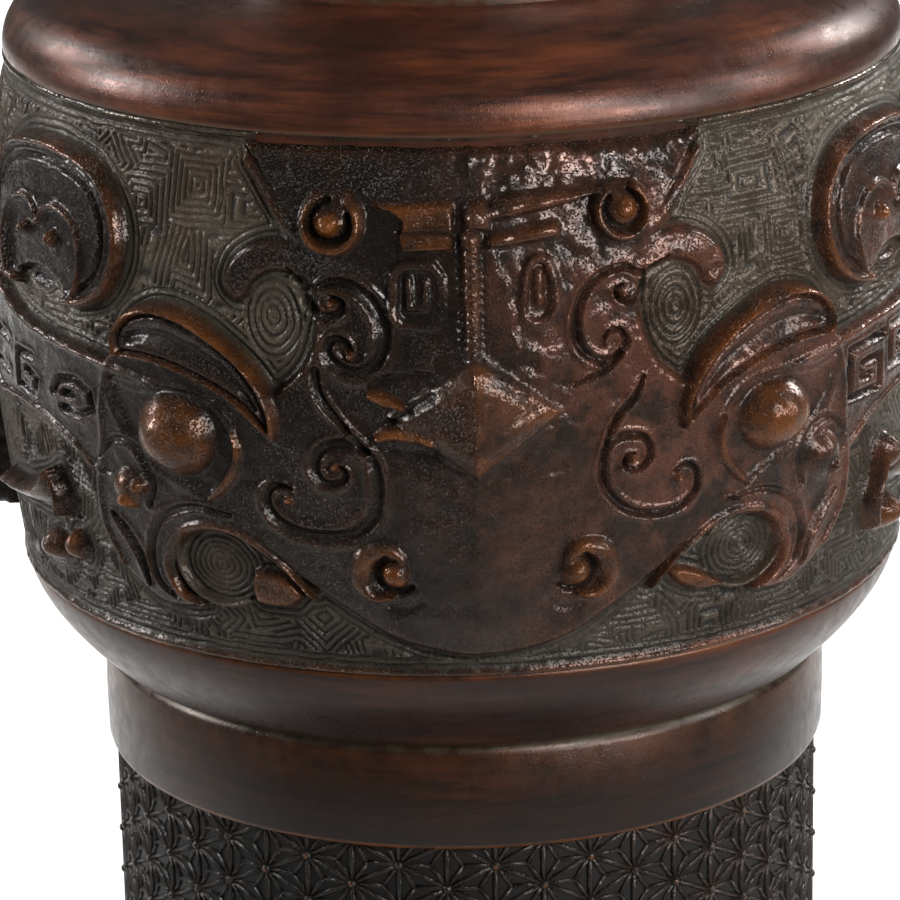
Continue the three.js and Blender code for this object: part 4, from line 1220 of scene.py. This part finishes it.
class GUVASE_OT_flanges(bpy.types.Operator):
    """Makes the two upright bars at the sides, with shallow cuts across them"""

    bl_idname = "gu_vase.flanges"
    bl_label = "Side flanges"

    def execute(self, context):
        sizes = context.scene.gu_vase_sizes
        profile = Profile(sizes)
        half = sizes.flange_thickness / 2
        inner = sizes.band_top_radius - sizes.wall / 2
        middle = profile.band_bottom + 0.5 * sizes.mask_band_height
        outer = float(profile.mask_band(middle)) + sizes.flange_reach
        low, high = profile.band_bottom + FLANGE_BELOW, profile.band_top - FLANGE_ABOVE
        cuts = np.linspace(low, high, FLANGE_CUTS + 2)[1:-1]
        heights = np.linspace(low, high, FLANGE_ROWS)
        section = flange_section(inner, outer, half)
        points, rubbed, crevice = [], [], []
        for height in heights:
            ends = min(height - low, high - height)
            round_end = FLANGE_END * max(0.0, 1 - ends / FLANGE_END) ** 2
            cut = FLANGE_CUT * math.exp(-(np.abs(cuts - height).min() / FLANGE_CUT) ** 2)
            for x, y in section:
                outwards = (x - inner) / (outer - inner)
                shrink = (round_end + cut) * (1 if outwards > 0.35 else 0)
                slot = SLOT_DEPTH * math.exp(-((outwards - SLOT_PLACE) / SLOT_WIDTH) ** 2)
                slot = slot if abs(y) > 0.8 * half else 0
                narrow = math.copysign(max(abs(y) - shrink * 0.8 - slot, 0), y)
                points.append((x - shrink * (outwards > 0.9), narrow, height))
                rubbed.append(0.9 * (outwards > 0.9) * (cut < 0.2 * MM))
                crevice.append(min(1.0, (cut + slot) / SLOT_DEPTH))
        count = len(section)
        faces = [tuple(range(count))[::-1], tuple(range(len(points) - count, len(points)))]
        for j in range(len(heights) - 1):
            for i in range(count):
                k = (i + 1) % count
                faces.append((j * count + i, j * count + k, (j + 1) * count + k, (j + 1) * count + i))
        for name, side in (("flange_right", 1), ("flange_left", -1)):
            turned = np.array(points) * (side, side, 1)
            mesh = new_mesh(name, turned, faces)
            # The cuts and slots take the dark wax colour, as wax and as painted shade.
            paint(mesh, 0.16 * np.array(rubbed), 0.3 * np.array(crevice), 1.0, np.array(crevice))
            add_piece(name, mesh, relief_bronze(context), 35.0)
        return {"FINISHED"}


def flange_section(inner, outer, half, chamfer=FLANGE_CHAMFER):
    """The outline of a flange seen from above, anticlockwise."""
    side_x = np.linspace(inner, outer - chamfer, 22)
    lower = [(x, -half) for x in side_x]
    turn = [(outer - chamfer * (1 - math.sin(a)), -half + chamfer * (1 - math.cos(a)))
            for a in np.linspace(0.2, math.pi / 2, 5)]
    edge = [(outer, y) for y in np.linspace(-half + chamfer, half - chamfer, 5)[1:-1]]
    upper = [(x, -y) for x, y in reversed(lower + turn)]
    return lower + turn + edge + upper


def star_mesh(pitch, column):
    """One star of the lattice on the flat, in metres: x round the body, y out, z up.

    Its rays are ridges: three of the six to its neighbours, as each neighbour brings the rest,
    and six to the middles of the triangles between. A stud sits in its centre.
    """
    points, faces, crest = [], [], []

    def ridge(end, half, peak):
        """A ray from the middle out to its end, as wide as two halves and as high as its peak."""
        along = np.array(end)
        across = np.array([-end[1], end[0]]) / math.hypot(*end)
        a = len(points)
        for middle in (along * 0, along):
            for x, z in (middle - across * half, middle + across * half):
                points.append((x, -RAY_BURIED, z))
            points.append((middle[0], peak, middle[1]))
            crest.extend([0.0, 0.0, 1.0])
        faces.extend([(a, a + 3, a + 5, a + 2), (a + 2, a + 5, a + 4, a + 1), (a, a + 1, a + 4, a + 3),
                      (a, a + 2, a + 1), (a + 3, a + 4, a + 5)])

    for x, z in ((0, pitch), (column, pitch / 2), (column, -pitch / 2)):
        ridge((x, z), 0.85 * MM, 0.75 * MM)
    for x, z in ((1 / 3, 0.5), (1 / 3, -0.5), (2 / 3, 0.0)):
        for side in (-1, 1):
            ridge((side * x * column, z * pitch), 0.75 * MM, 0.6 * MM)
    start = len(points)
    for share, top in STUD_RINGS:
        for i in range(STUD_STEPS):
            angle = 2 * math.pi * i / STUD_STEPS
            radius = share * STUD_RADIUS
            points.append((radius * math.cos(angle), top * MM, radius * math.sin(angle)))
            crest.append(1.0 if top > 1 else 0.4)
    peak = len(points)
    points.append((0, STUD_TOP, 0))
    crest.append(2.0)
    for row in range(len(STUD_RINGS)):
        a = start + row * STUD_STEPS
        for i in range(STUD_STEPS):
            j = (i + 1) % STUD_STEPS
            if row < len(STUD_RINGS) - 1:
                faces.append((a + i, a + STUD_STEPS + i, a + STUD_STEPS + j, a + j))
            else:
                faces.append((a + i, peak, a + j))
    faces.append(tuple(start + i for i in range(STUD_STEPS)))
    mesh = new_mesh("star_of_lattice", points, faces)
    layer = mesh.attributes.new("crest", "FLOAT", "POINT")
    layer.data.foreach_set("value", np.array(crest, np.float32))
    return mesh


LATTICE_INPUTS = (
    ("Star", "Object", None), ("Columns", "Int", 48), ("Rows", "Int", 12), ("Pitch", "Float", 0.00865),
    ("Column Pitch", "Float", 0.0087), ("Lowest", "Float", 0.04), ("Turn", "Float", 0.0),
    ("Straight Radius", "Float", 0.0665), ("Flare", "Float", 0.023), ("Flare Start", "Float", 0.106),
    ("Flare End", "Float", 0.011), ("Flare Power", "Float", 2.3),
)
# The arithmetic of the lattice: a name, an operation, and what goes in, which is a number, an
# input of the tree or an earlier step.
LATTICE_STEPS = (
    ("count", "MULTIPLY", "Columns", "Rows"),
    # Columns along x, rows along z, with every other column half a pitch higher.
    ("middle", "ADD", "order", 0.5),
    ("row share", "DIVIDE", "middle", "Columns"),
    ("row", "FLOOR", "row share"),
    ("before", "MULTIPLY", "row", "Columns"),
    ("column", "SUBTRACT", "order", "before"),
    ("odd", "MODULO", "column", 2.0),
    ("up", "MULTIPLY_ADD", "odd", 0.5, "row"),
    ("flat x", "MULTIPLY", "column", "Column Pitch"),
    ("flat z", "MULTIPLY_ADD", "up", "Pitch", "Lowest"),
    # The wall's radius at each height.
    ("away", "SUBTRACT", "Z", "Flare Start"),
    ("whole", "SUBTRACT", "Flare End", "Flare Start"),
    ("share", "DIVIDE", "away", "whole"),
    ("power", "POWER", "share", "Flare Power"),
    ("swell", "MULTIPLY", "power", "Flare"),
    ("wall", "ADD", "swell", "Straight Radius"),
    ("outside", "ADD", "wall", "Y"),
    # What lies below the lowest row sinks into the wall, so the pattern ends at its ring.
    ("under", "SUBTRACT", "Lowest", "Z"),
    ("below", "DIVIDE", "under", MM),
    ("radius", "MULTIPLY_ADD", "below", -SUNK, "outside"),
    # The turn round the axis.
    ("around", "MULTIPLY", "Columns", "Column Pitch"),
    ("turn share", "DIVIDE", "X", "around"),
    ("angle", "MULTIPLY_ADD", "turn share", 2 * math.pi, "Turn"),
    ("sine", "SINE", "angle"),
    ("cosine", "COSINE", "angle"),
    ("forward", "MULTIPLY", "cosine", -1.0),
    ("round x", "MULTIPLY", "radius", "sine"),
    ("round y", "MULTIPLY", "radius", "forward"),
)
CLAMPED_STEPS = ("share", "below")


def lattice_tree(name, material):
    """Geometry Nodes that set stars in staggered columns and wrap them round a flaring wall."""
    tree = bpy.data.node_groups.new(name, "GeometryNodeTree")
    for label, kind, value in LATTICE_INPUTS:
        socket = tree.interface.new_socket(label, in_out="INPUT", socket_type="NodeSocket" + kind)
        if value is not None:
            socket.default_value = value
    tree.interface.new_socket("Geometry", in_out="OUTPUT", socket_type="NodeSocketGeometry")
    made = {socket.name: socket for socket in add_node(tree, "NodeGroupInput").outputs}
    made["order"] = add_node(tree, "GeometryNodeInputIndex").outputs[0]
    position = add_node(tree, "GeometryNodeInputPosition").outputs[0]
    for socket in add_node(tree, "ShaderNodeSeparateXYZ", {0: position}).outputs:
        made[socket.name] = socket
    for label, operation, *taken in LATTICE_STEPS:
        inputs = {i: made[value] if isinstance(value, str) else value for i, value in enumerate(taken)}
        step = add_node(tree, "ShaderNodeMath", inputs, operation=operation, use_clamp=label in CLAMPED_STEPS)
        made[label] = step.outputs[0]

    line = add_node(tree, "GeometryNodeMeshLine", {"Count": made["count"], "Offset": (0.0, 0.0, 0.0)})
    spot = add_node(tree, "ShaderNodeCombineXYZ", {"X": made["flat x"], "Z": made["flat z"]})
    spots = add_node(tree, "GeometryNodeSetPosition", {
        "Geometry": line.outputs[0], "Position": spot.outputs[0]})
    star = add_node(tree, "GeometryNodeObjectInfo", {"Object": made["Star"]})
    stars = add_node(tree, "GeometryNodeInstanceOnPoints", {
        "Points": spots.outputs[0], "Instance": star.outputs["Geometry"]})
    flat = add_node(tree, "GeometryNodeRealizeInstances", {0: stars.outputs[0]})
    wrapped = add_node(tree, "ShaderNodeCombineXYZ", {
        "X": made["round x"], "Y": made["round y"], "Z": made["Z"]})
    round_wall = add_node(tree, "GeometryNodeSetPosition", {
        "Geometry": flat.outputs[0], "Position": wrapped.outputs[0]})
    again = add_node(tree, "GeometryNodeRealizeInstances", {0: round_wall.outputs[0]})
    coated = add_node(tree, "GeometryNodeSetMaterial", {"Geometry": again.outputs[0], "Material": material})
    add_node(tree, "NodeGroupOutput", {0: coated.outputs[0]})
    return tree


def lattice(context, name, tree, inputs):
    """Runs the tree once and keeps its result as a plain mesh."""
    holder = bpy.data.objects.new(name + "_maker", bpy.data.meshes.new(name + "_maker"))
    context.scene.collection.objects.link(holder)
    modifier = holder.modifiers.new("Lattice", "NODES")
    modifier.node_group = tree
    for item in tree.interface.items_tree:
        if item.item_type == "SOCKET" and item.in_out == "INPUT" and item.name in inputs:
            modifier[item.identifier] = inputs[item.name]
    mesh = bpy.data.meshes.new_from_object(holder.evaluated_get(context.evaluated_depsgraph_get()))
    holder.modifiers.clear()
    bpy.data.objects.remove(holder)
    if not len(mesh.vertices):
        raise RuntimeError(name + " came out empty")
    crest = np.empty(len(mesh.vertices), np.float32)
    mesh.attributes["crest"].data.foreach_get("value", crest)
    mesh.attributes.remove(mesh.attributes["crest"])
    places = places_of(mesh)
    height = places[:, 2] / MM
    around = np.arctan2(places[:, 0], -places[:, 1])
    wander = around * 23.0 + 1.3 * np.sin(height * 0.4)
    uneven = 0.5 + 0.5 * np.sin(wander) * np.sin(height * 0.73 + around * 9)
    ridge = np.clip(crest, 0, 1)
    rubbed = np.clip(crest - 1.0, 0, 1) * (uneven > 0.5)
    # The foot of each ray takes the dark wax colour, as wax and as painted shade, and its crest stays light.
    paint(mesh, rubbed, 0.12 * (1 - ridge), 0.25 * ridge, 0.9 * (1 - ridge))
    add_piece(name, mesh, mesh.materials[0], 180.0)


class GUVASE_OT_lattice(bpy.types.Operator):
    """Sets the star lattice round the foot and round the neck"""

    bl_idname = "gu_vase.lattice"
    bl_label = "Star lattice"

    def execute(self, context):
        sizes = context.scene.gu_vase_sizes
        profile = Profile(sizes)
        pitch = sizes.star_pitch
        bronze = relief_bronze(context)
        zones = (
            ("foot_lattice", sizes.star_columns, *FOOT_LATTICE, FOOT_POWER, sizes.stem_radius,
             sizes.foot_radius - profile.foot_step, profile.foot_flare_top, profile.foot_rim),
            ("neck_lattice", sizes.neck_star_columns, *NECK_LATTICE, NECK_POWER, sizes.neck_radius,
             sizes.mouth_radius - profile.mouth_step, profile.neck_bottom, profile.mouth_band),
        )
        for name, columns, rows, lowest, turn, power, straight, widest, start, end in zones:
            column_pitch = 2 * math.pi * straight / columns
            star = bpy.data.objects.new(name + "_star", star_mesh(pitch, column_pitch))
            context.scene.collection.objects.link(star)
            tree = lattice_tree(name, bronze)
            lattice(context, name, tree, {
                "Star": star, "Columns": columns, "Rows": rows, "Pitch": pitch, "Column Pitch": column_pitch,
                "Lowest": lowest, "Turn": math.radians(turn), "Straight Radius": straight,
                "Flare": widest - straight, "Flare Start": start, "Flare End": end, "Flare Power": power})
            bpy.data.objects.remove(star)
        return {"FINISHED"}


def plain_material(name, colour, roughness):
    """Matt painted board, even and without gloss, for the floor."""
    material = bpy.data.materials.new(name)
    material.use_nodes = True
    shader = material.node_tree.nodes["Principled BSDF"]
    shader.inputs["Base Color"].default_value = linear(colour)
    shader.inputs["Roughness"].default_value = roughness
    return material


def add_light(context, name, place, aim, width, height, power, spread_angle):
    """A soft box that faces a point."""
    data = bpy.data.lights.new(name, "AREA")
    data.spread = math.radians(spread_angle)
    data.shape = "RECTANGLE"
    data.size, data.size_y, data.energy = width, height, power
    lamp = bpy.data.objects.new(name, data)
    lamp.location = place
    lamp.rotation_euler = (Vector(aim) - Vector(place)).to_track_quat("-Z", "Y").to_euler()
    context.scene.collection.objects.link(lamp)


def add_camera(context):
    """The camera where the photograph was taken from, 18 degrees above level."""
    pitch, roll, azimuth = [math.radians(angle) for angle in (CAMERA_PITCH, CAMERA_ROLL, CAMERA_AZIMUTH)]
    level = Vector((math.sin(azimuth), -math.cos(azimuth), 0))
    back = level * math.cos(pitch) + Vector((0, 0, math.sin(pitch)))
    right = Vector((math.cos(azimuth), math.sin(azimuth), 0))
    data = bpy.data.cameras.new("photo_camera")
    data.sensor_width = SENSOR_WIDTH
    data.lens = SENSOR_WIDTH / 2 / math.tan(math.radians(CAMERA_ANGLE) / 2)
    data.clip_end = 100
    camera = bpy.data.objects.new("photo_camera", data)
    camera.location = Vector((0, 0, CAMERA_AIM_HEIGHT)) - right * CAMERA_SHIFT + back * CAMERA_DISTANCE
    camera.rotation_mode = "QUATERNION"
    camera.rotation_quaternion = (-back).to_track_quat("-Z", "Y") @ Quaternion((0, 0, 1), -roll)
    context.scene.collection.objects.link(camera)
    context.scene.camera = camera


class GUVASE_OT_stage(bpy.types.Operator):
    """Sets up the pale floor, the soft studio light and the camera"""

    bl_idname = "gu_vase.stage"
    bl_label = "Floor, light and camera"

    def execute(self, context):
        corners = [(x * FLOOR_HALF, y * FLOOR_HALF, 0) for x, y in ((-1, -1), (1, -1), (1, 1), (-1, 1))]
        floor = bpy.data.objects.new("floor", new_mesh("floor", corners, [(0, 1, 2, 3)]))
        floor.data.materials.append(plain_material("painted_board_pale", FLOOR_COLOUR, 0.9))
        context.scene.collection.objects.link(floor)
        for name, settings in LIGHTS.items():
            add_light(context, name, *settings)
        world = bpy.data.worlds.new("white_tent")
        world.use_nodes = True
        tree = world.node_tree
        seen = add_node(tree, "ShaderNodeLightPath").outputs["Is Camera Ray"]
        strength = add_node(tree, "ShaderNodeMapRange", {0: seen, 3: TENT_GLOW, 4: 1.0})
        background = tree.nodes["Background"]
        background.inputs["Color"].default_value = (1, 1, 1, 1)
        tree.links.new(strength.outputs[0], background.inputs["Strength"])
        context.scene.world = world
        context.scene.view_settings.view_transform = "Standard"
        add_camera(context)
        return {"FINISHED"}


OPERATORS = (GUVASE_OT_vessel, GUVASE_OT_masks, GUVASE_OT_flanges, GUVASE_OT_lattice, GUVASE_OT_stage)


class GUVASE_PT_panel(bpy.types.Panel):
    """Lists the sizes, the colours and the pieces"""

    bl_idname = "GUVASE_PT_panel"
    bl_label = "Gu vase"
    bl_space_type = "VIEW_3D"
    bl_region_type = "UI"
    bl_category = "Gu vase"

    def draw(self, context):
        for group in (context.scene.gu_vase_sizes, context.scene.gu_vase_colours):
            for name in group.__annotations__:
                self.layout.prop(group, name)
        for operator in OPERATORS:
            self.layout.operator(operator.bl_idname)


CLASSES = (VaseSizes, VaseColours, *OPERATORS, GUVASE_PT_panel)


def register():
    for cls in CLASSES:
        bpy.utils.register_class(cls)
    bpy.types.Scene.gu_vase_sizes = bpy.props.PointerProperty(type=VaseSizes)
    bpy.types.Scene.gu_vase_colours = bpy.props.PointerProperty(type=VaseColours)


def unregister():
    del bpy.types.Scene.gu_vase_colours
    del bpy.types.Scene.gu_vase_sizes
    for cls in reversed(CLASSES):
        bpy.utils.unregister_class(cls)


def main():
    """Builds every piece and the stage."""
    register()
    bpy.ops.gu_vase.vessel()
    bpy.ops.gu_vase.masks()
    bpy.ops.gu_vase.flanges()
    bpy.ops.gu_vase.lattice()
    bpy.ops.gu_vase.stage()


if __name__ == "__main__":
    main()
